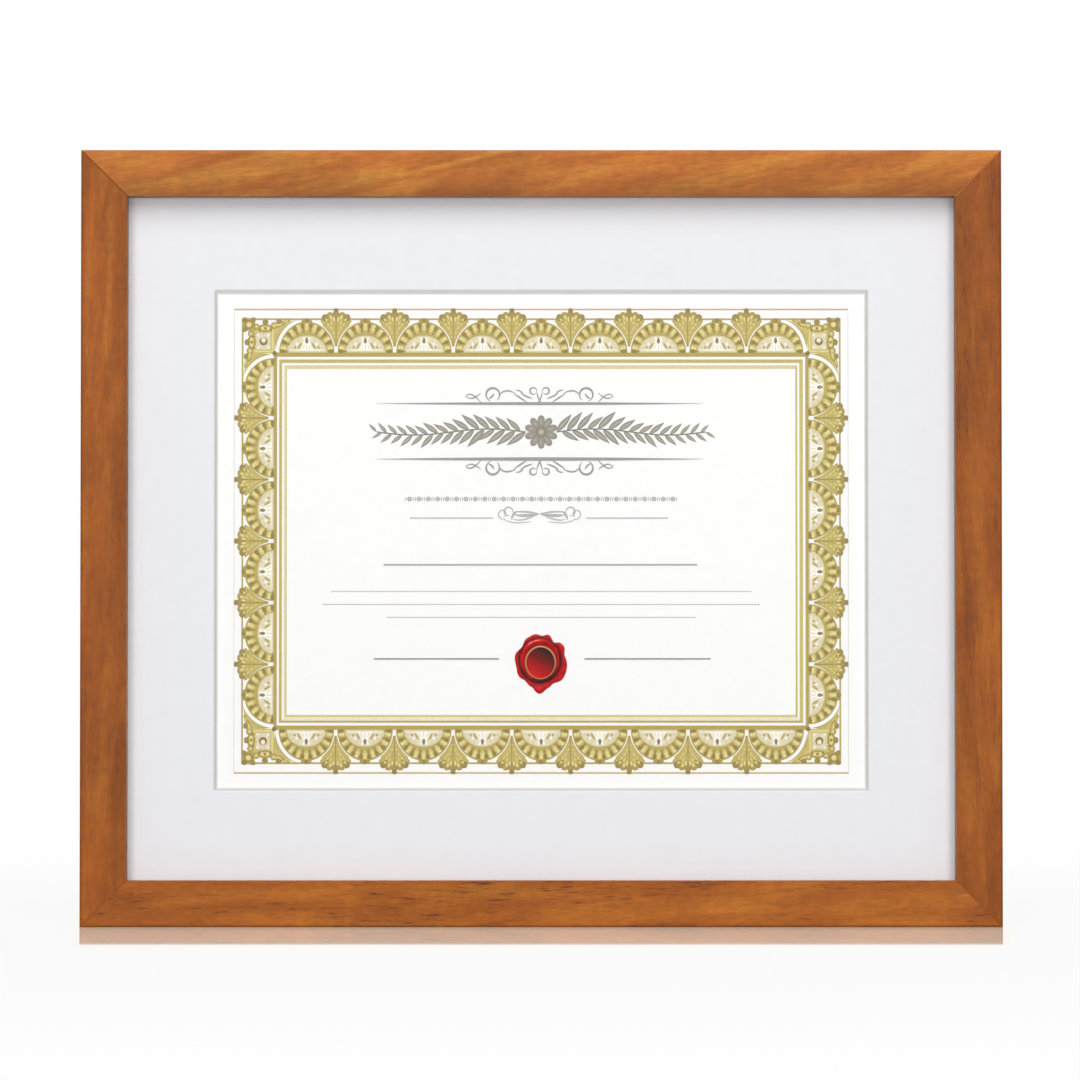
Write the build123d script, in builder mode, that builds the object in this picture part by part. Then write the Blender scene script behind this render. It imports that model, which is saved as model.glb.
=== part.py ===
"""Certificate frame: mitred wood rails around glass, mat and sheet, with an easel back."""

import os
from math import cos, radians, sin, tan

from build123d import *

os.makedirs("parts", exist_ok=True)

# Sizes in millimetres and degrees. X runs to the viewer's right, -Y faces the viewer, Z is up.
# The origin is the middle of the bottom rail's underside.

# Wood moulding
outer_width = 390.0
outer_height = 329.0
rail_face = 19.6
lip_thickness = 8.0
rabbet_width = 6.0
outer_edge_radius = 1.2
sight_edge_radius = 2.4
back_edge_bevel = 0.5
mitre_groove_width = 0.5
mitre_groove_depth = 0.3

# Sheets in the rabbet, from the front to the back
glazing_thickness = 2.0
mat_thickness = 2.0
sheet_thickness = 0.25
tape_thickness = 0.15
filler_thickness = 3.0
backing_thickness = 3.0
backing_recess = 0.3
insert_play = 1.5

# Letter sheet, the mat's window over it, its hanging tapes and its wax seal
sheet_width = 279.4
sheet_height = 215.9
window_side_overlap = 2.4
window_end_overlap = 3.2
mat_bevel_angle = 45.0
tape_length = 25.0
tape_reach = 12.0
tape_spread = 80.0
seal_drop = 52.0
seal_thickness = 1.1
seal_radius = 10.0
seal_lobes = 7
seal_lobe_radius = 3.6
seal_lobe_share = 0.8
seal_drip_radius = 2.8
seal_stamp_radius = 6.9
seal_stamp_depth = 0.45

# V-shaped corner nails
nail_leg = 5.0
nail_leg_angle = 50.0
nail_steel = 0.5
nail_depth = 9.0
nail_first = 3.5
nail_step = 7.5

# Turn buttons and their screws
button_spread_x = 110.0
button_spread_z = 70.0
button_width = 10.0
button_reach = 17.0
button_thickness = 1.0
button_edge = 0.25
button_gap = 0.2
running_clearance = 0.08
screw_radius = 1.5
screw_bite = 9.0
screw_head_radius = 3.2
screw_head_height = 1.7
screw_head_round = 0.8
screw_slot_length = 3.6
screw_slot_width = 0.8
screw_slot_depth = 0.8
wood_clearance = 0.04

# Sawtooth hangers and their nails
hanger_length = 46.0
hanger_width = 9.0
hanger_steel = 0.9
hanger_foot = 10.0
hanger_ramp = 3.0
hanger_rise = 2.0
tooth_count = 7
tooth_pitch = 2.6
tooth_depth = 2.2
brad_radius = 0.8
brad_bite = 8.0
brad_head_radius = 2.0
brad_head_height = 0.7

# Wall bumpers
bumper_radius = 5.5
bumper_thickness = 2.6
bumper_round = 0.9
bumper_inset = 32.0

# Easel strut and its hinge
hinge_height = 225.0
lean_angle = 14.0
strut_top_width = 50.0
strut_foot_width = 92.0
strut_thickness = 3.2
strut_corner = 5.0
strut_gap = 0.3
hinge_width = 44.0
leaf_height = 28.0
leaf_thickness = 0.8
leaf_corner = 3.0
fixed_knuckle = 10.0
moving_knuckle = 6.5
knuckle_gap = 0.3
pin_radius = 1.0
stop_clearance = 0.1
rivet_radius = 1.6
rivet_head_radius = 3.0
rivet_head_height = 0.9
rivet_head_round = 0.6
rivet_spread = 14.0
rivet_offset = 17.0

# Depths of the layers
stack = glazing_thickness + mat_thickness + sheet_thickness + tape_thickness
stack = stack + filler_thickness + backing_thickness
rail_depth = lip_thickness + stack + backing_recess
front_y = -rail_depth / 2
back_y = rail_depth / 2
glazing_front = front_y + lip_thickness
mat_front = glazing_front + glazing_thickness
sheet_front = mat_front + mat_thickness
sheet_back = sheet_front + sheet_thickness
filler_front = sheet_back + tape_thickness
backing_front = filler_front + filler_thickness
backing_back = backing_front + backing_thickness

# The insert lies on the rabbet of the bottom rail, so its play is all at the top
insert_width = outer_width - 2 * rail_face + 2 * rabbet_width - insert_play
insert_height = outer_height - 2 * rail_face + 2 * rabbet_width - insert_play
insert_middle = rail_face - rabbet_width + insert_height / 2
back_land = rail_face - rabbet_width
window_width = sheet_width - 2 * window_side_overlap
window_height = sheet_height - 2 * window_end_overlap

# Hinge axis and the length of strut that reaches a desk when the frame leans
strut_front = back_y + strut_gap
knuckle_radius = (strut_front - backing_back + strut_thickness + leaf_thickness - knuckle_gap) / 2
hinge_y = backing_back + knuckle_gap + knuckle_radius
opening_angle = 1.75 * lean_angle
opening = radians(opening_angle)
foot_bevel = radians(opening_angle - lean_angle)
foot_y = hinge_y + (back_y - hinge_y) * cos(opening) - hinge_height * sin(opening)
foot_z = hinge_height - (back_y - hinge_y) * sin(opening) - hinge_height * cos(opening)
foot_low = foot_z - (strut_front + strut_thickness - foot_y) * tan(foot_bevel)
strut_top = hinge_height - knuckle_radius - knuckle_gap
notch = knuckle_radius + knuckle_gap
stop_near = knuckle_radius + knuckle_gap - leaf_thickness
stop_far = knuckle_radius - leaf_thickness
stop_reach = (stop_near - stop_clearance + stop_far * cos(opening)) / sin(opening)

DEPTH = Vector(0, 1, 0)
LEFT = Vector(-1, 0, 0)
RIGHT = Vector(1, 0, 0)
UP = Vector(0, 0, 1)
DOWN = Vector(0, 0, -1)


def facing_front(y):
    """Plane at depth y whose sketches grow towards the viewer, upright as the frame is."""
    return Plane.XZ.offset(-y)


def facing_back(x, y, z, inward):
    """Plane at a point of the back, with its y towards the middle of the frame."""
    return Plane(origin=(x, y, z), x_dir=inward.cross(DEPTH), z_dir=DEPTH)


def write(part, name):
    """Labels one finished piece and writes it out."""
    part.label = name
    export_step(part, f"parts/{name}.step")


# Where the fastenings of the back stand, each with the direction to the frame's middle
land_middle = back_land / 2
middle_z = outer_height / 2
side_x = outer_width / 2 - land_middle
top_z = outer_height - land_middle
turn_buttons = {
    "turn_button_top_left": (-button_spread_x, top_z, DOWN),
    "turn_button_top_right": (button_spread_x, top_z, DOWN),
    "turn_button_bottom_left": (-button_spread_x, land_middle, UP),
    "turn_button_bottom_right": (button_spread_x, land_middle, UP),
    "turn_button_left_upper": (-side_x, middle_z + button_spread_z, RIGHT),
    "turn_button_left_lower": (-side_x, middle_z - button_spread_z, RIGHT),
    "turn_button_right_upper": (side_x, middle_z + button_spread_z, LEFT),
    "turn_button_right_lower": (side_x, middle_z - button_spread_z, LEFT),
}
hangers = {
    "sawtooth_hanger_top": (0.0, top_z, DOWN),
    "sawtooth_hanger_side": (side_x, middle_z, LEFT),
}
corners = [(side, level) for side in (-1, 1) for level in (-1, 1)]
brad_spread = hanger_length / 2 - hanger_foot / 2

# V-shaped steel nails that lock each mitre, driven in flush from the back
with BuildPart() as corner_v_nails:
    for side, level in corners:
        corner = Vector(side * outer_width / 2, back_y, middle_z + level * outer_height / 2)
        with BuildSketch(Plane(origin=corner, x_dir=(-side, 0, -level), z_dir=DEPTH)):
            with Locations((nail_first, 0), (nail_first + nail_step, 0)):
                for turn in (nail_leg_angle, -nail_leg_angle):
                    Rectangle(nail_leg, nail_steel, rotation=turn, align=(Align.MIN, Align.CENTER))
    extrude(amount=-nail_depth)
write(corner_v_nails.part, "corner_v_nails")

# Fine groove along each mitre of the face, and the bores for the screws and brads
with BuildPart() as mitre_grooves:
    for side, level in corners:
        corner = Vector(side * outer_width / 2, front_y, middle_z + level * outer_height / 2)
        along = Vector(-side, 0, -level)
        with BuildSketch(Plane(origin=corner, x_dir=along.cross(DEPTH), z_dir=along)):
            half = mitre_groove_width / 2
            Polygon((-half, 0), (half, 0), (0, mitre_groove_depth), align=None)
            Polygon((-half, 0), (half, 0), (0, -mitre_groove_depth), align=None)
    extrude(amount=rail_face * 2)
with BuildPart() as fixing_bores:
    for x, z, inward in turn_buttons.values():
        with BuildSketch(facing_back(x, back_y, z, inward)):
            Circle(screw_radius + wood_clearance)
    extrude(amount=-screw_bite)
    for x, z, inward in hangers.values():
        with BuildSketch(facing_back(x, back_y, z, inward)):
            with Locations((-brad_spread, 0), (brad_spread, 0)):
                Circle(brad_radius + wood_clearance)
    extrude(amount=-brad_bite)

# Four rails of one moulding, each mitred at both ends and rabbeted behind its lip
rails = {
    "rail_top": (Vector(0, front_y, outer_height), DOWN, outer_width / 2),
    "rail_bottom": (Vector(0, front_y, 0), UP, outer_width / 2),
    "rail_left": (Vector(-outer_width / 2, front_y, middle_z), RIGHT, outer_height / 2),
    "rail_right": (Vector(outer_width / 2, front_y, middle_z), LEFT, outer_height / 2),
}
for name, (edge, inward, half_length) in rails.items():
    along = inward.cross(DEPTH)
    with BuildPart() as rail:
        with BuildSketch(Plane(origin=edge, x_dir=inward, z_dir=along)) as profile:
            Polygon(
                (0, 0),
                (rail_face, 0),
                (rail_face, lip_thickness),
                (back_land, lip_thickness),
                (back_land, rail_depth),
                (0, rail_depth),
                align=None,
            )
            face_corners = profile.vertices().group_by(Axis.Y)[0].sort_by(Axis.X)
            fillet(face_corners[0], outer_edge_radius)
            fillet(face_corners[1], sight_edge_radius)
            chamfer(profile.vertices().group_by(Axis.Y)[-1], back_edge_bevel)
        extrude(amount=half_length, both=True)
        for end in (1, -1):
            mitre = Plane(origin=edge + along * (end * half_length), z_dir=along * end + inward)
            split(bisect_by=mitre, keep=Keep.BOTTOM)
        add(corner_v_nails.part, mode=Mode.SUBTRACT)
        add(mitre_grooves.part, mode=Mode.SUBTRACT)
        add(fixing_bores.part, mode=Mode.SUBTRACT)
    write(rail.part, name)

# Clear sheet against the lip
with BuildPart() as glazing:
    with BuildSketch(facing_front(mat_front)):
        with Locations((0, insert_middle)):
            Rectangle(insert_width, insert_height)
    extrude(amount=glazing_thickness)
write(glazing.part, "glazing")

# Mat board with a window whose bevel opens towards the glass
with BuildPart() as mat_board:
    with BuildSketch(facing_front(sheet_front)):
        with Locations((0, insert_middle)):
            Rectangle(insert_width, insert_height)
    extrude(amount=mat_thickness)
    with BuildSketch(facing_front(sheet_front)):
        with Locations((0, insert_middle)):
            Rectangle(window_width, window_height)
    extrude(amount=mat_thickness, taper=-mat_bevel_angle, mode=Mode.SUBTRACT)
write(mat_board.part, "mat_board")

# Letter sheet behind the mat
with BuildPart() as certificate_sheet:
    with BuildSketch(facing_front(sheet_back)):
        with Locations((0, insert_middle)):
            Rectangle(sheet_width, sheet_height)
    extrude(amount=sheet_thickness)
write(certificate_sheet.part, "certificate_sheet")

# Lobed wax seal with a round stamped hollow and one drip, on the face of the sheet
seal_z = insert_middle - seal_drop
with BuildPart() as wax_seal:
    with BuildSketch(facing_front(sheet_front)):
        with Locations((0, seal_z)):
            Circle(seal_radius)
            with PolarLocations(seal_radius * seal_lobe_share, seal_lobes, start_angle=90):
                Circle(seal_lobe_radius)
        with Locations((0, seal_z - seal_radius)):
            Circle(seal_drip_radius)
    extrude(amount=seal_thickness)
    with BuildSketch(facing_front(sheet_front - seal_thickness)):
        with Locations((0, seal_z)):
            Circle(seal_stamp_radius)
    extrude(amount=-seal_stamp_depth, mode=Mode.SUBTRACT)
write(wax_seal.part, "wax_seal")

# Two tapes that hang the sheet from the back of the mat
sheet_top = insert_middle + sheet_height / 2
with BuildPart() as hinge_tapes:
    for x in (-tape_spread, tape_spread):
        with BuildSketch(Plane.YZ.offset(x)):
            Polygon(
                (sheet_back, sheet_top - tape_reach),
                (filler_front, sheet_top - tape_reach),
                (filler_front, sheet_top + tape_thickness),
                (sheet_front + tape_thickness, sheet_top + tape_thickness),
                (sheet_front + tape_thickness, sheet_top + tape_reach),
                (sheet_front, sheet_top + tape_reach),
                (sheet_front, sheet_top),
                (sheet_back, sheet_top),
                align=None,
            )
    extrude(amount=tape_length / 2, both=True)
write(hinge_tapes.part, "hinge_tapes")

# Corrugated card that fills the depth
with BuildPart() as filler_board:
    with BuildSketch(facing_front(backing_front)):
        with Locations((0, insert_middle)):
            Rectangle(insert_width, insert_height)
    extrude(amount=filler_thickness)
write(filler_board.part, "filler_board")

# Hardboard back with the bores of the hinge rivets
with BuildPart() as backing_board:
    with BuildSketch(facing_front(backing_back)):
        with Locations((0, insert_middle)):
            Rectangle(insert_width, insert_height)
        with Locations((-rivet_spread, hinge_height + rivet_offset)):
            Circle(rivet_radius + wood_clearance, mode=Mode.SUBTRACT)
        with Locations((rivet_spread, hinge_height + rivet_offset)):
            Circle(rivet_radius + wood_clearance, mode=Mode.SUBTRACT)
    extrude(amount=backing_thickness)
write(backing_board.part, "backing_board")

# Steel turn buttons, each swinging on a screw at the end over its rail
for name, (x, z, inward) in turn_buttons.items():
    with BuildPart() as turn_button:
        with BuildSketch(facing_back(x, back_y + button_gap, z, inward)):
            with Locations((0, button_reach / 2)):
                SlotCenterToCenter(button_reach, button_width, rotation=90)
            Circle(screw_radius + running_clearance, mode=Mode.SUBTRACT)
        extrude(amount=button_thickness)
        fillet(turn_button.faces().sort_by(Axis.Y)[-1].outer_wire().edges(), button_edge)
    write(turn_button.part, name)

# Pan head screws with a cross recess, one through each turn button
head_y = back_y + 2 * button_gap + button_thickness
with BuildPart() as turn_button_screws:
    for x, z, inward in turn_buttons.values():
        with BuildSketch(facing_back(x, back_y - screw_bite, z, inward)):
            Circle(screw_radius)
    extrude(amount=screw_bite + 2 * button_gap + button_thickness)
    for x, z, inward in turn_buttons.values():
        with BuildSketch(facing_back(x, head_y, z, inward)):
            Circle(screw_head_radius)
    extrude(amount=screw_head_height)
    fillet(turn_button_screws.edges().group_by(Axis.Y)[-1], screw_head_round)
    for x, z, inward in turn_buttons.values():
        with BuildSketch(facing_back(x, head_y + screw_head_height, z, inward)):
            Rectangle(screw_slot_length, screw_slot_width)
            Rectangle(screw_slot_width, screw_slot_length)
    extrude(amount=-screw_slot_depth, mode=Mode.SUBTRACT)
write(turn_button_screws.part, "turn_button_screws")

# Bent steel hangers with a row of teeth along the edge nearer the middle
flat_end = hanger_length / 2 - hanger_foot
bridge_end = flat_end - hanger_ramp
for name, (x, z, inward) in hangers.items():
    with BuildPart() as hanger:
        with BuildSketch(Plane(origin=(x, back_y, z), x_dir=inward.cross(DEPTH), z_dir=-inward)):
            Polygon(
                (-hanger_length / 2, 0),
                (-flat_end, 0),
                (-bridge_end, hanger_rise),
                (bridge_end, hanger_rise),
                (flat_end, 0),
                (hanger_length / 2, 0),
                (hanger_length / 2, hanger_steel),
                (flat_end, hanger_steel),
                (bridge_end, hanger_rise + hanger_steel),
                (-bridge_end, hanger_rise + hanger_steel),
                (-flat_end, hanger_steel),
                (-hanger_length / 2, hanger_steel),
                align=None,
            )
        extrude(amount=hanger_width / 2, both=True)
        with BuildSketch(facing_back(x, back_y, z, inward)):
            for tooth in range(tooth_count):
                middle = (tooth - (tooth_count - 1) / 2) * tooth_pitch
                Polygon(
                    (middle - tooth_pitch / 2, hanger_width / 2),
                    (middle, hanger_width / 2 - tooth_depth),
                    (middle + tooth_pitch / 2, hanger_width / 2),
                    align=None,
                )
            with Locations((-brad_spread, 0), (brad_spread, 0)):
                Circle(brad_radius + wood_clearance)
        extrude(amount=hanger_rise + 2 * hanger_steel, mode=Mode.SUBTRACT)
    write(hanger.part, name)

# Flat head brads, two through the feet of each hanger
with BuildPart() as hanger_brads:
    for x, z, inward in hangers.values():
        with BuildSketch(facing_back(x, back_y - brad_bite, z, inward)):
            with Locations((-brad_spread, 0), (brad_spread, 0)):
                Circle(brad_radius)
    extrude(amount=brad_bite + hanger_steel)
    for x, z, inward in hangers.values():
        with BuildSketch(facing_back(x, back_y + hanger_steel, z, inward)):
            with Locations((-brad_spread, 0), (brad_spread, 0)):
                Circle(brad_head_radius)
    extrude(amount=brad_head_height)
write(hanger_brads.part, "hanger_brads")

# Felt bumpers near the lower corners of the back
with BuildPart() as wall_bumpers:
    for x in (bumper_inset - outer_width / 2, outer_width / 2 - bumper_inset):
        with BuildSketch(facing_back(x, back_y, land_middle, UP)):
            Circle(bumper_radius)
    extrude(amount=bumper_thickness)
    fillet(wall_bumpers.edges().group_by(Axis.Y)[-1], bumper_round)
write(wall_bumpers.part, "wall_bumpers")

# Fixed hinge leaf on the backing board, cut away round the knuckles of the moving leaf
moving_end = hinge_width / 2 - fixed_knuckle - knuckle_gap
tab_end = moving_end - moving_knuckle - knuckle_gap
fixed_starts = (-hinge_width / 2, hinge_width / 2 - fixed_knuckle)
moving_starts = (-moving_end, moving_end - moving_knuckle)
with BuildPart() as hinge_base_leaf:
    with BuildSketch(facing_front(backing_back)) as leaf_outline:
        with Locations((0, hinge_height + leaf_height / 2)):
            Rectangle(hinge_width, leaf_height)
        fillet(leaf_outline.vertices().group_by(Axis.Y)[-1], leaf_corner)
        with Locations((0, hinge_height)):
            Rectangle(2 * moving_end + 2 * knuckle_gap, 2 * notch, mode=Mode.SUBTRACT)
        with Locations((-rivet_spread, hinge_height + rivet_offset)):
            Circle(rivet_radius + wood_clearance, mode=Mode.SUBTRACT)
        with Locations((rivet_spread, hinge_height + rivet_offset)):
            Circle(rivet_radius + wood_clearance, mode=Mode.SUBTRACT)
    extrude(amount=-leaf_thickness)
    for start in fixed_starts:
        with BuildSketch(Plane.YZ.offset(start)):
            with Locations((hinge_y, hinge_height)):
                Circle(knuckle_radius)
        extrude(amount=fixed_knuckle)
    for start in fixed_starts:
        with BuildSketch(Plane.YZ.offset(start)):
            with Locations((hinge_y, hinge_height)):
                Circle(pin_radius + running_clearance)
        extrude(amount=fixed_knuckle, mode=Mode.SUBTRACT)
write(hinge_base_leaf.part, "hinge_base_leaf")

# Moving hinge leaf on the strut, with the tab above the pin that stops the strut when open
leaf_front = hinge_y + knuckle_radius - leaf_thickness
with BuildPart() as hinge_strut_leaf:
    with BuildSketch(facing_front(leaf_front)) as leaf_outline:
        with Locations((0, hinge_height - leaf_height / 2)):
            Rectangle(hinge_width, leaf_height)
        fillet(leaf_outline.vertices().group_by(Axis.Y)[0], leaf_corner)
        for side in (-1, 1):
            with Locations((side * hinge_width / 2, hinge_height)):
                Rectangle(2 * (fixed_knuckle + knuckle_gap), 2 * notch, mode=Mode.SUBTRACT)
            with Locations((side * rivet_spread, hinge_height - rivet_offset)):
                Circle(rivet_radius + wood_clearance, mode=Mode.SUBTRACT)
        with Locations((0, hinge_height + stop_reach / 2)):
            Rectangle(2 * tab_end, stop_reach)
    extrude(amount=-leaf_thickness)
    for start in moving_starts:
        with BuildSketch(Plane.YZ.offset(start)):
            with Locations((hinge_y, hinge_height)):
                Circle(knuckle_radius)
        extrude(amount=moving_knuckle)
    for start in moving_starts:
        with BuildSketch(Plane.YZ.offset(start)):
            with Locations((hinge_y, hinge_height)):
                Circle(pin_radius + running_clearance)
        extrude(amount=moving_knuckle, mode=Mode.SUBTRACT)
write(hinge_strut_leaf.part, "hinge_strut_leaf")

# Pin through all the knuckles
with BuildPart() as hinge_pin:
    with BuildSketch(Plane.YZ):
        with Locations((hinge_y, hinge_height)):
            Circle(pin_radius)
    extrude(amount=hinge_width / 2, both=True)
write(hinge_pin.part, "hinge_pin")

# Hardboard strut, wider at the foot, whose foot is cut to lie on the desk when it is open
with BuildPart() as easel_strut:
    with BuildSketch(facing_front(strut_front + strut_thickness)) as strut_outline:
        Polygon(
            (-strut_top_width / 2, strut_top),
            (strut_top_width / 2, strut_top),
            (strut_foot_width / 2, foot_low),
            (-strut_foot_width / 2, foot_low),
            align=None,
        )
        fillet(strut_outline.vertices(), strut_corner)
        for side in (-1, 1):
            with Locations((side * rivet_spread, hinge_height - rivet_offset)):
                Circle(rivet_radius + wood_clearance, mode=Mode.SUBTRACT)
    extrude(amount=strut_thickness)
    desk = Plane(origin=(0, foot_y, foot_z), z_dir=(0, sin(foot_bevel), cos(foot_bevel)))
    split(bisect_by=desk, keep=Keep.TOP)
write(easel_strut.part, "easel_strut")


def rivets(tail_y, head_y, z):
    """Two round head rivets from a flush tail to a head on the outside of a leaf."""
    with BuildPart() as pair:
        for side in (-1, 1):
            with BuildSketch(facing_back(side * rivet_spread, tail_y, z, DOWN)):
                Circle(rivet_radius)
        extrude(amount=head_y - tail_y)
        for side in (-1, 1):
            with BuildSketch(facing_back(side * rivet_spread, head_y, z, DOWN)):
                Circle(rivet_head_radius)
        extrude(amount=rivet_head_height)
        fillet(pair.edges().group_by(Axis.Y)[-1], rivet_head_round)
    return pair.part


# Rivets of the fixed leaf through the backing board, and of the moving leaf through the strut
base_rivets = rivets(backing_front, backing_back + leaf_thickness, hinge_height + rivet_offset)
write(base_rivets, "base_leaf_rivets")
strut_rivets = rivets(strut_front, leaf_front + leaf_thickness, hinge_height - rivet_offset)
write(strut_rivets, "strut_leaf_rivets")
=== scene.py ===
"""Certificate frame: stained wood rails, glass, a bevelled mat and a printed sheet, with an easel back."""

import math

import bmesh
import bpy
from mathutils import Matrix, Vector, noise


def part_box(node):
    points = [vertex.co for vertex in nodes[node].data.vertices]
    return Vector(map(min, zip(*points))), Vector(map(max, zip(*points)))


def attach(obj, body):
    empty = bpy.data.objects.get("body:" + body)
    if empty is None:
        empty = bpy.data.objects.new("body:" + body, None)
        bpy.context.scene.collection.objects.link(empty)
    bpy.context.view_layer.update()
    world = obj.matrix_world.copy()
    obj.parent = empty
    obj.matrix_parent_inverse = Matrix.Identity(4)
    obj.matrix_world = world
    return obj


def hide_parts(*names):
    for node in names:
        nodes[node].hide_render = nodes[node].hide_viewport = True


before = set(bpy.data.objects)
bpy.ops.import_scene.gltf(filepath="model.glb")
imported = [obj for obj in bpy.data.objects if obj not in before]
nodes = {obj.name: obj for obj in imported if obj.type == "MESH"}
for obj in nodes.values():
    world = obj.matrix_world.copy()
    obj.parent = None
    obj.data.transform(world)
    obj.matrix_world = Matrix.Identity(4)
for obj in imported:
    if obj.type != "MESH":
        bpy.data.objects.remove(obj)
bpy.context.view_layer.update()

# Rails
# Four sticks of one hardwood moulding, mitred, glued and pinned at the corners. They were stained orange
# brown and sprayed with satin lacquer before they were cut, so each shows its own streaks, fibres and pores.
MM = 0.001
RAIL_FACE = 19.6
STAIN_BLEED = 0.5
MITRE_GROOVE = 0.5
half_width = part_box("rail_right")[1].x / MM
frame_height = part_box("rail_top")[1].z / MM


def linear(code):
    """Linear colour of an sRGB hex code such as #B06936."""
    shares = [int(code[start:start + 2], 16) / 255 for start in (1, 3, 5)]
    return (*[s / 12.92 if s <= 0.04045 else ((s + 0.055) / 1.055) ** 2.4 for s in shares], 1.0)


def blank(name):
    """A new material and its emptied node tree."""
    material = bpy.data.materials.new(name)
    material.use_nodes = True
    material.node_tree.nodes.clear()
    return material, material.node_tree


def add(tree, kind, inputs=(), stops=(), **settings):
    """Adds one node with its settings. Inputs are values or sockets to link; stops are a ramp's colours."""
    made = tree.nodes.new(kind)
    for name, value in settings.items():
        setattr(made, name, value)
    for socket, value in dict(inputs).items():
        if isinstance(value, bpy.types.NodeSocket):
            tree.links.new(value, made.inputs[socket])
        else:
            made.inputs[socket].default_value = value
    for place, (position, code) in enumerate(stops):
        points = made.color_ramp.elements
        point = points[place] if place < 2 else points.new(position)
        point.position = position
        point.color = linear(code)
    return made


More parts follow.
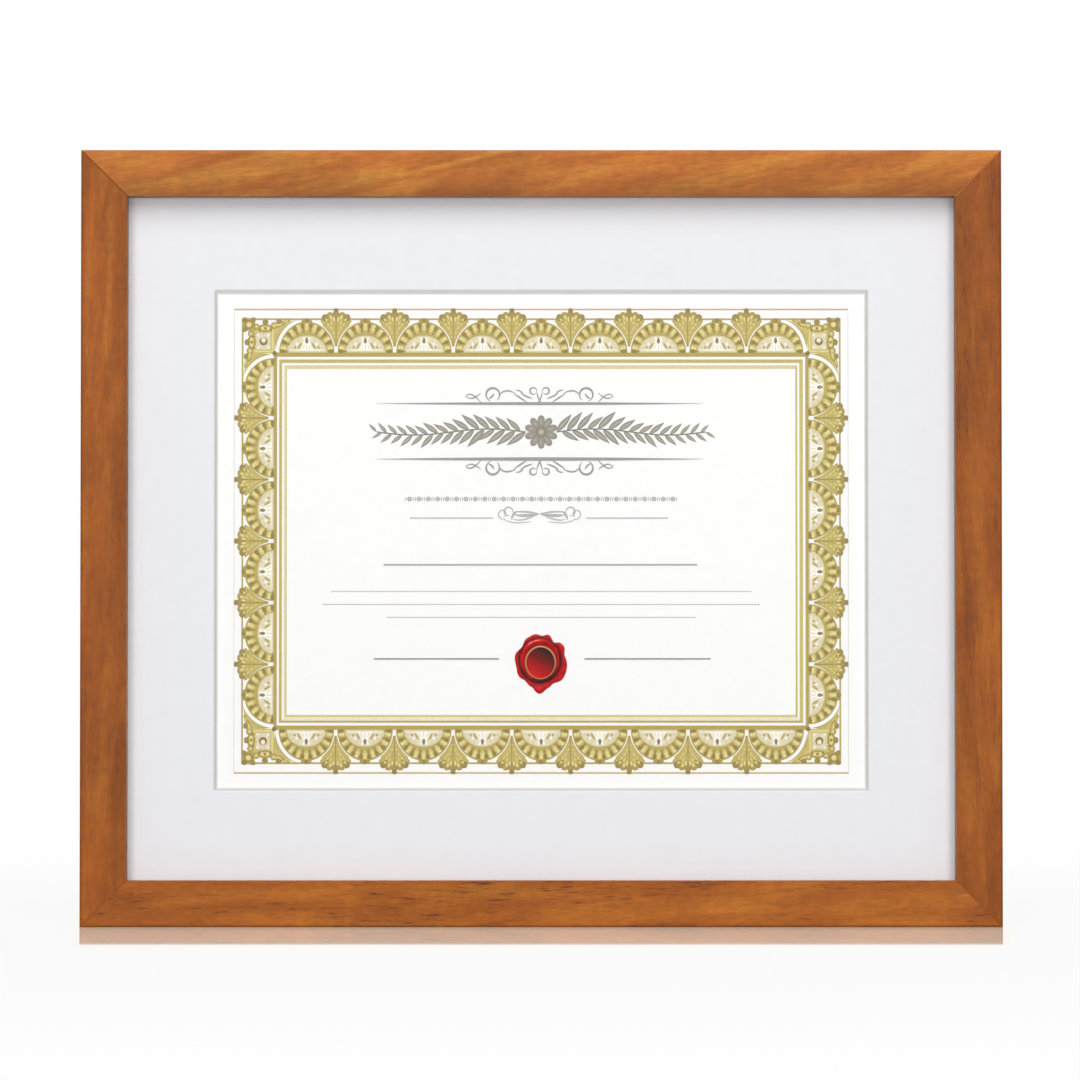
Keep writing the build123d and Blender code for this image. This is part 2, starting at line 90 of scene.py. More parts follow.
def stained_wood(rail, along, edge, tones, slope, arris_painted_light, flecked, mitre_groove_painted_tones):
    """Wood of a stick: long axis, outer edge in mm, tones, slope of grain, painted light and shade of the
    arrises, flecks, and the painted colours of two mitre grooves.
    """
    material, tree = blank("stained_wood_" + rail)
    spot = add(tree, "ShaderNodeTexCoord").outputs["Object"]
    axes = add(tree, "ShaderNodeSeparateXYZ", {0: spot}).outputs
    seed = Vector((edge, 0, len(rail) * edge)) * MM

    def streaks(length, width, tilt, detail, bend):
        """Noise in streaks of this length and width in mm: a TEXTURE mapping divides by its scale."""
        size = (length, width, width) if along == "X" else (width, width, length)
        turn = math.radians(tilt)
        place = {"Vector": spot, "Location": seed, "Rotation": (0, turn, 0), "Scale": Vector(size) * MM}
        place = add(tree, "ShaderNodeMapping", place, vector_type="TEXTURE").outputs[0]
        grain = {"Vector": place, "Scale": 1, "Detail": detail, "Roughness": 0.55, "Distortion": bend}
        return add(tree, "ShaderNodeTexNoise", grain).outputs["Fac"]

    # Growth bands give the streaks of tone, wide clouds the places where the stain sank in, curl the soft
    # ripple across the grain, and fibres the fine strokes along it. Fibres and flecks are drawn coarser than
    # real ones, at 0.9 mm, so that they show.
    dark, middle, light, pore = tones
    bands = streaks(62, 8, slope, 2, 0.6)
    clouds = streaks(52, 14, slope / 2, 2, 0.3)
    curl = streaks(4, 9, -slope, 2, 0.4)
    fibres = streaks(5, 0.9, slope / 3, 2, 0.2)
    flecks = streaks(9, 0.9, slope / 3, 2, 0.1)
    growth = [(0.3, dark), (0.5, middle), (0.7, light)]
    colour = add(tree, "ShaderNodeValToRGB", {0: bands}, growth).outputs[0]
    layers = ((clouds, "#B0B0B0", "#C8C8C8"), (curl, "#B6B6B6", "#C2C2C2"), (fibres, "#B0B0B0", "#C8C8C8"))
    for layer, low, high in layers:
        grey = add(tree, "ShaderNodeValToRGB", {0: layer}, [(0.3, low), (0.7, high)]).outputs[0]
        colour = {0: 1.0, 6: colour, 7: grey}
        colour = add(tree, "ShaderNodeMix", colour, data_type="RGBA", blend_type="OVERLAY").outputs[2]

    # Short dark flecks lie in loose groups, where the clouds are dark
    dots = add(tree, "ShaderNodeMapRange", {"Value": flecks, "From Min": 0.58, "From Max": 0.68}).outputs[0]
    groups = {"Value": clouds, "From Min": 0.6, "From Max": 0.42, "To Max": flecked}
    groups = add(tree, "ShaderNodeMapRange", groups).outputs[0]
    dots = add(tree, "ShaderNodeMath", {0: dots, 1: groups}, operation="MULTIPLY").outputs[0]
    colour = {0: dots, 6: colour, 7: linear(pore)}
    colour = add(tree, "ShaderNodeMix", colour, data_type="RGBA").outputs[2]

    # Each face is painted lighter or darker from its outer arris to its sight edge: on the top stick a
    # painted highlight on the outer arris and painted shade at the sight edge, for light from above, and
    # slighter painted light and shade at the edges of the others
    inner = edge + math.copysign(RAIL_FACE, -edge) if along == "Z" else abs(edge - RAIL_FACE)
    across = axes["Z" if along == "X" else "X"]
    reach = {"Value": across, "From Min": edge * MM, "From Max": inner * MM}
    reach = add(tree, "ShaderNodeMapRange", reach).outputs[0]
    edges = [(0.0, arris_painted_light[0]), (0.09, "#C3C3C3"), (0.5, "#BDBDBD"), (1.0, arris_painted_light[1])]
    painted_light_across_face = add(tree, "ShaderNodeValToRGB", {0: reach}, edges)
    colour = {0: 1.0, 6: colour, 7: painted_light_across_face.outputs[0]}
    colour = add(tree, "ShaderNodeMix", colour, data_type="RGBA", blend_type="OVERLAY").outputs[2]

    # The fine groove along each mitre is painted a colour of its own at each corner: paler than the wood at
    # the lower corners, painted light that lifts the groove's own shade; palest at the top right, a painted
    # highlight;
    # and dark at the top left
    near_end = add(tree, "ShaderNodeMath", {0: axes["X"]}, operation="ABSOLUTE").outputs[0]
    near_end = add(tree, "ShaderNodeMath", {0: half_width * MM, 1: near_end}, operation="SUBTRACT").outputs[0]
    half_height = frame_height / 2 * MM
    level = add(tree, "ShaderNodeMath", {0: axes["Z"], 1: half_height}, operation="SUBTRACT").outputs[0]
    level = add(tree, "ShaderNodeMath", {0: level}, operation="ABSOLUTE").outputs[0]
    level = add(tree, "ShaderNodeMath", {0: half_height, 1: level}, operation="SUBTRACT").outputs[0]
    off_mitre = add(tree, "ShaderNodeMath", {0: near_end, 1: level}, operation="SUBTRACT").outputs[0]
    off_mitre = add(tree, "ShaderNodeMath", {0: off_mitre}, operation="ABSOLUTE").outputs[0]
    groove = MITRE_GROOVE / 2 * math.sqrt(2) * MM
    groove_paint_mask = {"Value": off_mitre, "From Min": 1.1 * groove, "From Max": 0.8 * groove}
    groove_paint_mask = add(tree, "ShaderNodeMapRange", groove_paint_mask).outputs[0]
    ends = (-half_width * MM, half_width * MM) if along == "X" else (0, frame_height * MM)
    which = {"Value": axes[along], "From Min": ends[0], "From Max": ends[1]}
    which = add(tree, "ShaderNodeMapRange", which).outputs[0]
    wax = add(tree, "ShaderNodeValToRGB", {0: which}, [(0.4, mitre_groove_painted_tones[0]), (0.6, mitre_groove_painted_tones[1])]).outputs[0]
    colour = {0: groove_paint_mask, 6: colour, 7: wax}
    colour = add(tree, "ShaderNodeMix", colour, data_type="RGBA").outputs[2]

    # The back was left bare, with a little stain run over its edges
    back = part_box(rail)[1].y
    bare = {"Value": axes["Y"], "From Min": back - 1.2 * STAIN_BLEED * MM, "From Max": back - 0.1 * MM}
    bare = add(tree, "ShaderNodeMapRange", bare).outputs[0]
    raw = [(0.3, "#A57C4E"), (0.5, "#BF9968"), (0.7, "#D6B484")]
    raw = add(tree, "ShaderNodeValToRGB", {0: bands}, raw).outputs[0]
    sawn = add(tree, "ShaderNodeValToRGB", {0: fibres}, [(0.3, "#A2A2A2"), (0.7, "#D2D2D2")]).outputs[0]
    raw = {0: 1.0, 6: raw, 7: sawn}
    raw = add(tree, "ShaderNodeMix", raw, data_type="RGBA", blend_type="OVERLAY").outputs[2]
    colour = {0: bare, 6: colour, 7: raw}
    colour = add(tree, "ShaderNodeMix", colour, data_type="RGBA").outputs[2]

    relief = add(tree, "ShaderNodeMath", {0: fibres, 1: dots}, operation="SUBTRACT").outputs[0]
    relief = {"Strength": 0.25, "Distance": 0.05 * MM, "Height": relief}
    sheen = {"Value": fibres, "From Min": 0.2, "From Max": 0.8, "To Min": 0.36, "To Max": 0.52}
    surface = {
        "Base Color": colour,
        "Roughness": add(tree, "ShaderNodeMapRange", sheen).outputs[0],
        "Normal": add(tree, "ShaderNodeBump", relief).outputs[0],
        "Specular IOR Level": 0.16,
    }
    shader = add(tree, "ShaderNodeBsdfPrincipled", surface)
    add(tree, "ShaderNodeOutputMaterial", {0: shader.outputs[0]})
    return material


# The top stick is painted lighter and the uprights darker than the foot: lit and shaded copies of one stained
# wood, painted light and painted shade for light from above, which falls across the grain of the top stick
# and along that of the uprights
honey_lit_top_tones = ("#A65A23", "#B26828", "#C07F33", "#8A4B1C")
amber = ("#934E15", "#9F571A", "#AB6420", "#6E3318")
russet_shaded_upright_tones = ("#874611", "#954F15", "#A25D1E", "#5E2D10")
rail_boards = {
    # Name: axis, outer edge, tones, slope of grain in degrees, painted light and shade of the outer arris
    # and the sight edge, share of dark flecks, and the colours painted into the mitre groove at its left or
    # lower end and at its right or upper end
    "rail_top": ("X", frame_height, honey_lit_top_tones, -13, ("#D4D4D4", "#9C9C9C"), 0.22, ("#96592C", "#BE7F4A")),
    "rail_bottom": ("X", 0, amber, -3, ("#B6B6B6", "#C4C4C4"), 1.0, ("#AC652A", "#AC652A")),
    "rail_left": ("Z", -half_width, russet_shaded_upright_tones, 3, ("#BCBCBC", "#B2B2B2"), 0.3, ("#AC652A", "#96592C")),
    "rail_right": ("Z", half_width, russet_shaded_upright_tones, -3, ("#BCBCBC", "#B6B6B6"), 0.5, ("#AC652A", "#BE7F4A")),
}
for rail, finish in rail_boards.items():
    nodes[rail].data.materials.clear()
    nodes[rail].data.materials.append(stained_wood(rail, *finish))


# Corner nails, turn buttons and their screws
# V-nails of bent spring steel lock each mitre from behind. The turn buttons are stamped from mild steel and
# swing on pan head screws. All are zinc plated: a dull blue grey with faint clouds and fine rubbed scratches.
def plated_metal(name, code, worn_code, roughness, grain):
    """A plated metal: its colour, that of its rubbed clouds, its roughness and the size of a cloud in mm."""
    material, tree = blank(name)
    spot = add(tree, "ShaderNodeTexCoord").outputs["Object"]
    clouds = {"Vector": spot, "Scale": 1 / (grain * MM), "Detail": 3, "Roughness": 0.6}
    clouds = add(tree, "ShaderNodeTexNoise", clouds).outputs["Fac"]
    # The scratches are drawn coarser than real ones, at 0.25 mm, so that they show
    scratch = Vector((6, 0.25, 0.25)) * MM
    lines = {"Vector": spot, "Rotation": (0, math.radians(38), 0), "Scale": scratch}
    lines = add(tree, "ShaderNodeMapping", lines, vector_type="TEXTURE").outputs[0]
    lines = add(tree, "ShaderNodeTexNoise", {"Vector": lines, "Scale": 1, "Detail": 2}).outputs["Fac"]
    colour = add(tree, "ShaderNodeValToRGB", {0: clouds}, [(0.3, code), (0.7, worn_code)])
    rubbed = roughness + 0.14
    sheen = {"Value": clouds, "From Min": 0.3, "From Max": 0.7, "To Min": roughness, "To Max": rubbed}
    relief = {"Strength": 0.2, "Distance": 0.02 * MM, "Height": lines}
    surface = {
        "Base Color": colour.outputs[0],
        "Metallic": 1.0,
        "Roughness": add(tree, "ShaderNodeMapRange", sheen).outputs[0],
        "Normal": add(tree, "ShaderNodeBump", relief).outputs[0],
    }
    shader = add(tree, "ShaderNodeBsdfPrincipled", surface)
    add(tree, "ShaderNodeOutputMaterial", {0: shader.outputs[0]})
    return material


def coat(material, *names):
    """Gives CAD nodes their finish."""
    for name in names:
        nodes[name].data.materials.clear()
        nodes[name].data.materials.append(material)


zinc = plated_metal("zinc_plated_steel", "#A9AEB2", "#C4C8CB", 0.34, 2.2)
coat(zinc, "corner_v_nails", *[name for name in nodes if name.startswith("turn_button_")])


# Glazing
# One pane of coated picture glass with seamed edges, held against the lip. The coating leaves a thin veil of
# the room on its front, so the face mixes a mirror with a clear sheet by Fresnel. A hair of air parts the
# pane from the mat.
AIR_FILM, SEAM = 0.05, 0.3


def linked(name, data):
    """A new object with its mesh, curve, lamp or camera, put in the scene."""
    made = bpy.data.objects.new(name, data)
    bpy.context.scene.collection.objects.link(made)
    return made


pane_low, pane_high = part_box("glazing")
pane_high.y -= AIR_FILM * MM
pane = bmesh.new()
bmesh.ops.create_cube(pane, size=1)
for point in pane.verts:
    point.co = [high if share > 0 else low for share, low, high in zip(point.co, pane_low, pane_high)]
bmesh.ops.bevel(pane, geom=pane.edges, offset=SEAM * MM, segments=1, affect="EDGES")
pane_mesh = bpy.data.meshes.new("glass_pane")
pane.to_mesh(pane_mesh)
pane.free()
glass_pane = linked("glass_pane", pane_mesh)
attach(glass_pane, "frame")
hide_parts("glazing")
material, tree = blank("coated_picture_glass")
fresnel = add(tree, "ShaderNodeFresnel", {"IOR": 1.18}).outputs[0]
outside = add(tree, "ShaderNodeNewGeometry").outputs["Backfacing"]
outside = add(tree, "ShaderNodeMath", {0: 1.0, 1: outside}, operation="SUBTRACT").outputs[0]
fresnel = add(tree, "ShaderNodeMath", {0: fresnel, 1: outside}, operation="MULTIPLY").outputs[0]
clear = add(tree, "ShaderNodeBsdfTransparent", {"Color": linear("#FFFFFF")}).outputs[0]
mirror = add(tree, "ShaderNodeBsdfGlossy", {"Color": linear("#FFFFFF"), "Roughness": 0.02}).outputs[0]
shader = add(tree, "ShaderNodeMixShader", {0: fresnel, 1: clear, 2: mirror})
add(tree, "ShaderNodeOutputMaterial", {0: shader.outputs[0]})
pane_mesh.materials.append(material)


# Mat board
# Pulp board faced with cool white paper, its window cut by a slanted blade. The face has a faint felt tooth,
# and the cut shows a greyer core as a fine line round the sheet, a grey that is partly painted shade.
def paper(name, code, shade_code, tooth, relief, roughness):
    """Uncoated paper: its colour, its slightly darker clouds, the size of its tooth and its relief in mm."""
    material, tree = blank(name)
    spot = add(tree, "ShaderNodeTexCoord").outputs["Object"]
    clouds = {"Vector": spot, "Scale": 1 / (12 * tooth * MM), "Detail": 4, "Roughness": 0.6}
    clouds = add(tree, "ShaderNodeTexNoise", clouds).outputs["Fac"]
    # The tooth is drawn coarser than the real one, so that it shows
    felt = {"Vector": spot, "Scale": 1 / (tooth * MM), "Detail": 3, "Roughness": 0.6}
    felt = add(tree, "ShaderNodeTexNoise", felt).outputs["Fac"]
    colour = add(tree, "ShaderNodeValToRGB", {0: clouds}, [(0.3, shade_code), (0.7, code)])
    bump = {"Strength": 0.3, "Distance": relief * MM, "Height": felt}
    surface = {
        "Base Color": colour.outputs[0],
        "Roughness": roughness,
        "Specular IOR Level": 0.25,
        "Normal": add(tree, "ShaderNodeBump", bump).outputs[0],
    }
    shader = add(tree, "ShaderNodeBsdfPrincipled", surface)
    add(tree, "ShaderNodeOutputMaterial", {0: shader.outputs[0]})
    return material, tree, shader, colour


mat_paper, tree, shader, colour = paper("white_mat_board", "#EFF0F4", "#EDEEF2", 0.6, 0.012, 0.85)
facing = add(tree, "ShaderNodeTexCoord").outputs["Normal"]
facing = add(tree, "ShaderNodeSeparateXYZ", {0: facing}).outputs
slant = add(tree, "ShaderNodeMath", {0: facing["Y"]}, operation="ABSOLUTE").outputs[0]
core = {"Value": slant, "From Min": 0.95, "From Max": 0.85}
core = add(tree, "ShaderNodeMapRange", core).outputs[0]
# The cut is greyest near the middle of its depth, between the white papers of the face and of the back; this
# grey is partly painted shade
CORE_MIDDLE = 0.45
mat_low, mat_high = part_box("mat_board")
depth = add(tree, "ShaderNodeTexCoord").outputs["Object"]
depth = add(tree, "ShaderNodeSeparateXYZ", {0: depth}).outputs["Y"]
depth = {"Value": depth, "From Min": mat_low.y, "From Max": mat_high.y}
depth = add(tree, "ShaderNodeMapRange", depth).outputs[0]
depth = add(tree, "ShaderNodeMath", {0: depth, 1: CORE_MIDDLE}, operation="SUBTRACT").outputs[0]
depth = add(tree, "ShaderNodeMath", {0: depth}, operation="ABSOLUTE").outputs[0]
depth = add(tree, "ShaderNodeMapRange", {"Value": depth, "From Max": 1 - CORE_MIDDLE}).outputs[0]
# The cut is painted lightest at the head of the window, whose face looks down away from the lamps, and darker
# at the foot, which looks up to them, and at the sides: painted light and painted shade for how the lamps
# fall
cut_facing_for_painted_light = {"Value": facing["Z"], "From Min": -0.7, "From Max": 0.7}
cut_facing_for_painted_light = add(tree, "ShaderNodeMapRange", cut_facing_for_painted_light).outputs[0]
cut_painted_light_tones = [(0.0, "#EAE9E6"), (0.5, "#C4C3C0"), (1.0, "#C8C7C4")]
cut_painted_light_and_shade = add(tree, "ShaderNodeValToRGB", {0: cut_facing_for_painted_light}, cut_painted_light_tones).outputs[0]
cut_painted_light_and_shade = add(tree, "ShaderNodeMix", {0: depth, 6: cut_painted_light_and_shade, 7: linear("#FAFAF8")}, data_type="RGBA").outputs[2]
colour = {0: core, 6: colour.outputs[0], 7: cut_painted_light_and_shade}
colour = add(tree, "ShaderNodeMix", colour, data_type="RGBA").outputs[2]
tree.links.new(colour, shader.inputs["Base Color"])
coat(mat_paper, "mat_board")

# Sheet
# A letter-size sheet of bright white wove paper, stiff and smooth, hung from the back of the mat by two tapes
# at its upper edge. Its printing stands on it as pieces of their own.
sheet_paper = paper("white_wove_paper", "#FFFFFF", "#FDFDFC", 0.35, 0.01, 0.7)[0]
coat(sheet_paper, "certificate_sheet")

# Printed border
# A traditional scalloped border in gold ink, raised a hair above the paper: nine arches across and six up,
# each a fan of gadroons over a small bell, with palmette crests between them, corner blocks and plain rules.
# Places are in mm, p to the right and q up, from a middle that lies a little below the middle of the sheet.
PRINT_DROP = 0.26
sheet_low, sheet_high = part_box("certificate_sheet")
sheet_middle = (sheet_low + sheet_high) / 2
sheet_middle.y = sheet_low.y
sheet_middle.z -= PRINT_DROP * MM
# A layer of ink, how far a shape's middle stands above its edge, and a step that keeps layers from meeting
INK, INK_CROWN, INK_STEP = 0.03, 0.01, 0.00002
ARCH_HALF, ARCH_RISE = 11.8, 13.2
ARCH_LINE, ARCH_LINE_TOP = 0.38, 0.35
BOWL_HALF, BOWL_RISE = 8.5, 7.2
ARCHES_ACROSS, ARCHES_UP = 9, 6
ARCH_PITCH_ACROSS, ARCH_PITCH_UP = 24.95, 26.2
# Each corner block starts at a ring this far outside the last arch
CORNER_RING = 1.4
# The arches stand on a bar, whose outer edge is their foot, and reach up to a line round the border
FOOT_HALF_WIDTH, FOOT_HALF_HEIGHT = 113.8, 80.25
BAR_UPRIGHT, BAR_LEVEL = 1.4, 1.8
BORDER_HALF_WIDTH, BORDER_HALF_HEIGHT = 127.1, 94.45


def drawing():
    """An empty mesh for ink, in the sheet's own axes, whose points carry the tone of the ink."""
    made = bmesh.new()
    made.verts.layers.float.new("tone")
    return made


def ink_shape(ink, outline, layer, edge, middle=None):
    """One closed shape of ink: its outline in mm, its layer, and its tones at the edge and in the middle."""
    tone = ink.verts.layers.float["tone"]
    height = layer * INK + len(ink.verts) * INK_STEP
    foot = [ink.verts.new((p * MM, 0, q * MM)) for p, q in outline]
    rim = [ink.verts.new((p * MM, -height * MM, q * MM)) for p, q in outline]
    p, q = [sum(axis) / len(outline) for axis in zip(*outline)]
    crown = ink.verts.new((p * MM, -(height + INK_CROWN) * MM, q * MM))
    for point in foot + rim:
        point[tone] = edge
    crown[tone] = edge if middle is None else middle
    for here in range(len(outline)):
        there = (here + 1) % len(outline)
        ink.faces.new((foot[here], foot[there], rim[there], rim[here]))
        ink.faces.new((rim[here], rim[there], crown))
    ink.faces.new(foot[::-1])


def ink_band(ink, inner, outer, layer, inner_tone, outer_tone, closed=False):
    """One closed strip of ink between two lines of as many points in mm, such as a rule, arc or stroke."""
    tone = ink.verts.layers.float["tone"]
    height = layer * INK + len(ink.verts) * INK_STEP
    sections = (
        (inner, 0, inner_tone),
        (inner, height, inner_tone),
        (outer, height, outer_tone),
        (outer, 0, outer_tone),
    )
    rows = []
    for line, level, value in sections:
        rows.append([ink.verts.new((p * MM, -level * MM, q * MM)) for p, q in line])
        for point in rows[-1]:
            point[tone] = value
    count = len(inner)
    for here in range(count if closed else count - 1):
        there = (here + 1) % count
        for side in range(4):
            near, far = rows[side], rows[(side + 1) % 4]
            ink.faces.new((near[here], near[there], far[there], far[here]))
    if not closed:
        ink.faces.new([row[0] for row in rows])
        ink.faces.new([row[-1] for row in rows])


def egg(p, q, long, wide, turn=0.0, swell=0.2, points=12):
    """Outline of an egg: middle, half sizes and the turn of its thick end from straight up, in radians."""
    outline = []
    for step in range(points):
        angle = 2 * math.pi * step / points
        along = long * math.cos(angle)
        across = -wide * math.sin(angle) * (1 + swell * math.cos(angle))
        right = p + across * math.cos(turn) + along * math.sin(turn)
        up = q - across * math.sin(turn) + along * math.cos(turn)
        outline.append((right, up))
    return outline


def rectangle(half_p, half_q):
    """The four corners of a rectangle round the middle of the sheet."""
    return [(-half_p, -half_q), (half_p, -half_q), (half_p, half_q), (-half_p, half_q)]


def motif(name, ink):
    """Turns a drawing into an object, which is copied in rows or is a piece by itself."""
    bmesh.ops.recalc_face_normals(ink, faces=ink.faces)
    mesh = bpy.data.meshes.new(name)
    ink.to_mesh(mesh)
    ink.free()
    return linked(name, mesh)


def half_round(half, rise, steps=28):
    """Half an ellipse as a line of points in mm, from its right foot over the top to its left."""
    turns = [math.pi * step / steps for step in range(steps + 1)]
    return [(half * math.cos(turn), rise * math.sin(turn)) for turn in turns]


def arch_point(share, turn):
    """A point of the arch, or of a smaller arch inside it, at an angle from its right foot."""
    return share * ARCH_HALF * math.cos(turn), share * ARCH_RISE * math.sin(turn)


def arch_drawing(lobes=9):
    """One arch: a ring of gadroons with dark eyes between, round a beige bowl with a white bell and a bud."""
    ink = drawing()
    rim = half_round(ARCH_HALF, ARCH_RISE)
    ink_shape(ink, rim, 1, 0.42, 0.46)
    ink_band(ink, half_round(ARCH_HALF - 0.5, ARCH_RISE - 0.5), rim, 2, 0.42, 0.34)
    for lobe in range(lobes):
        turn = math.pi * (lobe + 0.5) / lobes
        lean = math.atan2(*arch_point(1, turn))
        ink_shape(ink, egg(*arch_point(0.8, turn), 1.95, 1.2, lean, 0.25), 2, 0.54, 0.74)
        ink_shape(ink, egg(*arch_point(0.9, turn), 0.7, 0.75, lean, 0, 8), 3, 0.68, 0.76)
    for eye in range(lobes + 1):
        turn = math.pi * (eye * 0.97 + 0.015 * lobes) / lobes
        lean = math.atan2(*arch_point(1, turn))
        ink_shape(ink, egg(*arch_point(0.86, turn), 1.25, 0.78, lean, 0.3, 10), 3, 0.02, 0.16)
        ink_shape(ink, egg(*arch_point(0.7, turn), 0.85, 0.5, lean, 0.3, 8), 3, 0.22)
    bowl = half_round(BOWL_HALF, BOWL_RISE)
    ink_band(ink, bowl, half_round(BOWL_HALF + 0.4, BOWL_RISE + 0.5), 3, 0.52, 0.38)
    ink_shape(ink, bowl, 3, 0.83, 0.88)
    for ray in range(9):
        turn = math.pi * (ray + 0.5) / 9
        p, q = 0.76 * BOWL_HALF * math.cos(turn), 0.76 * BOWL_RISE * math.sin(turn)
        ink_shape(ink, egg(p, q, 1.3, 0.34, math.atan2(p, q), 0.3, 8), 5, 0.88)
    ink_shape(ink, [(-7.6, 0.6), (7.6, 0.6), (7.3, 1.5), (-7.3, 1.5)], 5, 0.92)
    bell = [(3.0, 0.9), (2.0, 2.7), (1.3, 4.2), (1.3, 5.2), (1.9, 6.5), (0.8, 6.3)]
    ink_shape(ink, bell + [(-p, q) for p, q in reversed(bell)], 6, 1.0)
    for side in (-1, 1):
        ink_shape(ink, egg(side * 3.0, 2.8, 1.7, 0.4, -side * 0.55, 0.2, 8), 7, 0.4)
        ink_shape(ink, egg(side * 1.5, 2.2, 1.4, 0.18, -side * 0.5, 0, 6), 7, 0.66)
        ink_shape(ink, egg(side * 4.2, 3.5, 0.6, 0.55, 0, 0, 10), 6, 0.98)
        ink_shape(ink, egg(side * 5.0, 2.2, 0.6, 0.55, 0, 0, 8), 6, 0.46)
        ink_shape(ink, egg(side * 1.5, ARCH_RISE + 0.2, 0.65, 0.85, side * 0.9, 0.2, 8), 2, 0.24, 0.42)
    ink_shape(ink, egg(0, 2.1, 1.4, 0.18, 0, 0, 6), 7, 0.66)
    ink_shape(ink, egg(0, 5.1, 1.3, 0.7, 0, -0.2, 10), 7, 0.0, 0.15)
    ink_shape(ink, egg(0, ARCH_RISE + 0.5, 1.0, 0.9, 0, -0.2, 10), 3, 0.06, 0.24)
    return ink


def crest_drawing(pitch):
    """One palmette crest: a leafy body between two arches, five lobes, two side leaves and a finial."""
    ink = drawing()
    outer_half, outer_rise = ARCH_HALF + ARCH_LINE, ARCH_RISE + ARCH_LINE_TOP
    foot, shoulder, narrowest, widest = 2.5, 12.0, 0.25, 5.9
    left, right = [], []
    for step in range(20):
        q = foot + 0.65 * step
        waist = pitch / 2 - outer_half * math.sqrt(max(0.0, 1 - (q / outer_rise) ** 2))
        waist = max(narrowest, min(waist, widest - 0.8 * max(0.0, q - shoulder)))
        left.append((-waist, q))
        right.append((waist, q))
    ink_band(ink, left, right, 1, 0.5, 0.5)
    for level, reach, size in ((6.4, 0.5, 0.9), (8.4, 1.0, 1.2), (10.4, 2.0, 1.5), (12.2, 3.4, 1.7)):
        for side in (-1, 1):
            ink_shape(ink, egg(side * reach, level, size, 0.36 * size, side * 0.6, 0.3, 10), 2, 0.5, 0.73)
    for side in (-1, 1):
        ink_shape(ink, egg(side * 5.0, 12.9, 1.7, 0.9, side * 1.1, 0.2), 2, 0.34, 0.6)
        ink_shape(ink, egg(side * 1.9, 12.6, 1.6, 0.65, side * 0.5, 0.3, 10), 3, 0.46, 0.73)
        ink_shape(ink, egg(side * 4.6, 14.8, 1.6, 1.4, side * 0.5, 0.1), 3, 0.06, 0.3)
        ink_shape(ink, egg(side * 4.0, 13.9, 0.75, 0.55, side * 0.7, 0, 8), 4, 0.6, 0.74)
        ink_shape(ink, egg(side * 2.5, 15.6, 1.7, 1.35, side * 0.35, 0.3), 4, 0.24, 0.44)
        ink_shape(ink, egg(side * 2.2, 14.9, 1.05, 0.62, side * 0.35, 0.3, 10), 5, 0.62, 0.75)
        ink_shape(ink, egg(side * 3.4, 13.1, 0.5, 0.45, 0, 0, 8), 4, 0.2)
        ink_shape(ink, egg(side * 0.85, 14.2, 1.2, 0.45, side * 0.15, 0.2, 8), 6, 0.66, 0.76)
    ink_shape(ink, egg(0, 15.8, 1.9, 1.45, 0, 0.25, 14), 5, 0.2, 0.36)
    ink_shape(ink, egg(0, 12.2, 1.2, 1.0, 0, 0), 6, 0.4, 0.73)
    ink_band(ink, [(-0.2, foot), (-0.2, 17.4)], [(0.2, foot), (0.2, 17.4)], 7, 0.24, 0.24)
    ink_shape(ink, egg(0, 18.0, 0.9, 1.1, 0, 0, 10), 7, 0.02, 0.2)
    return ink


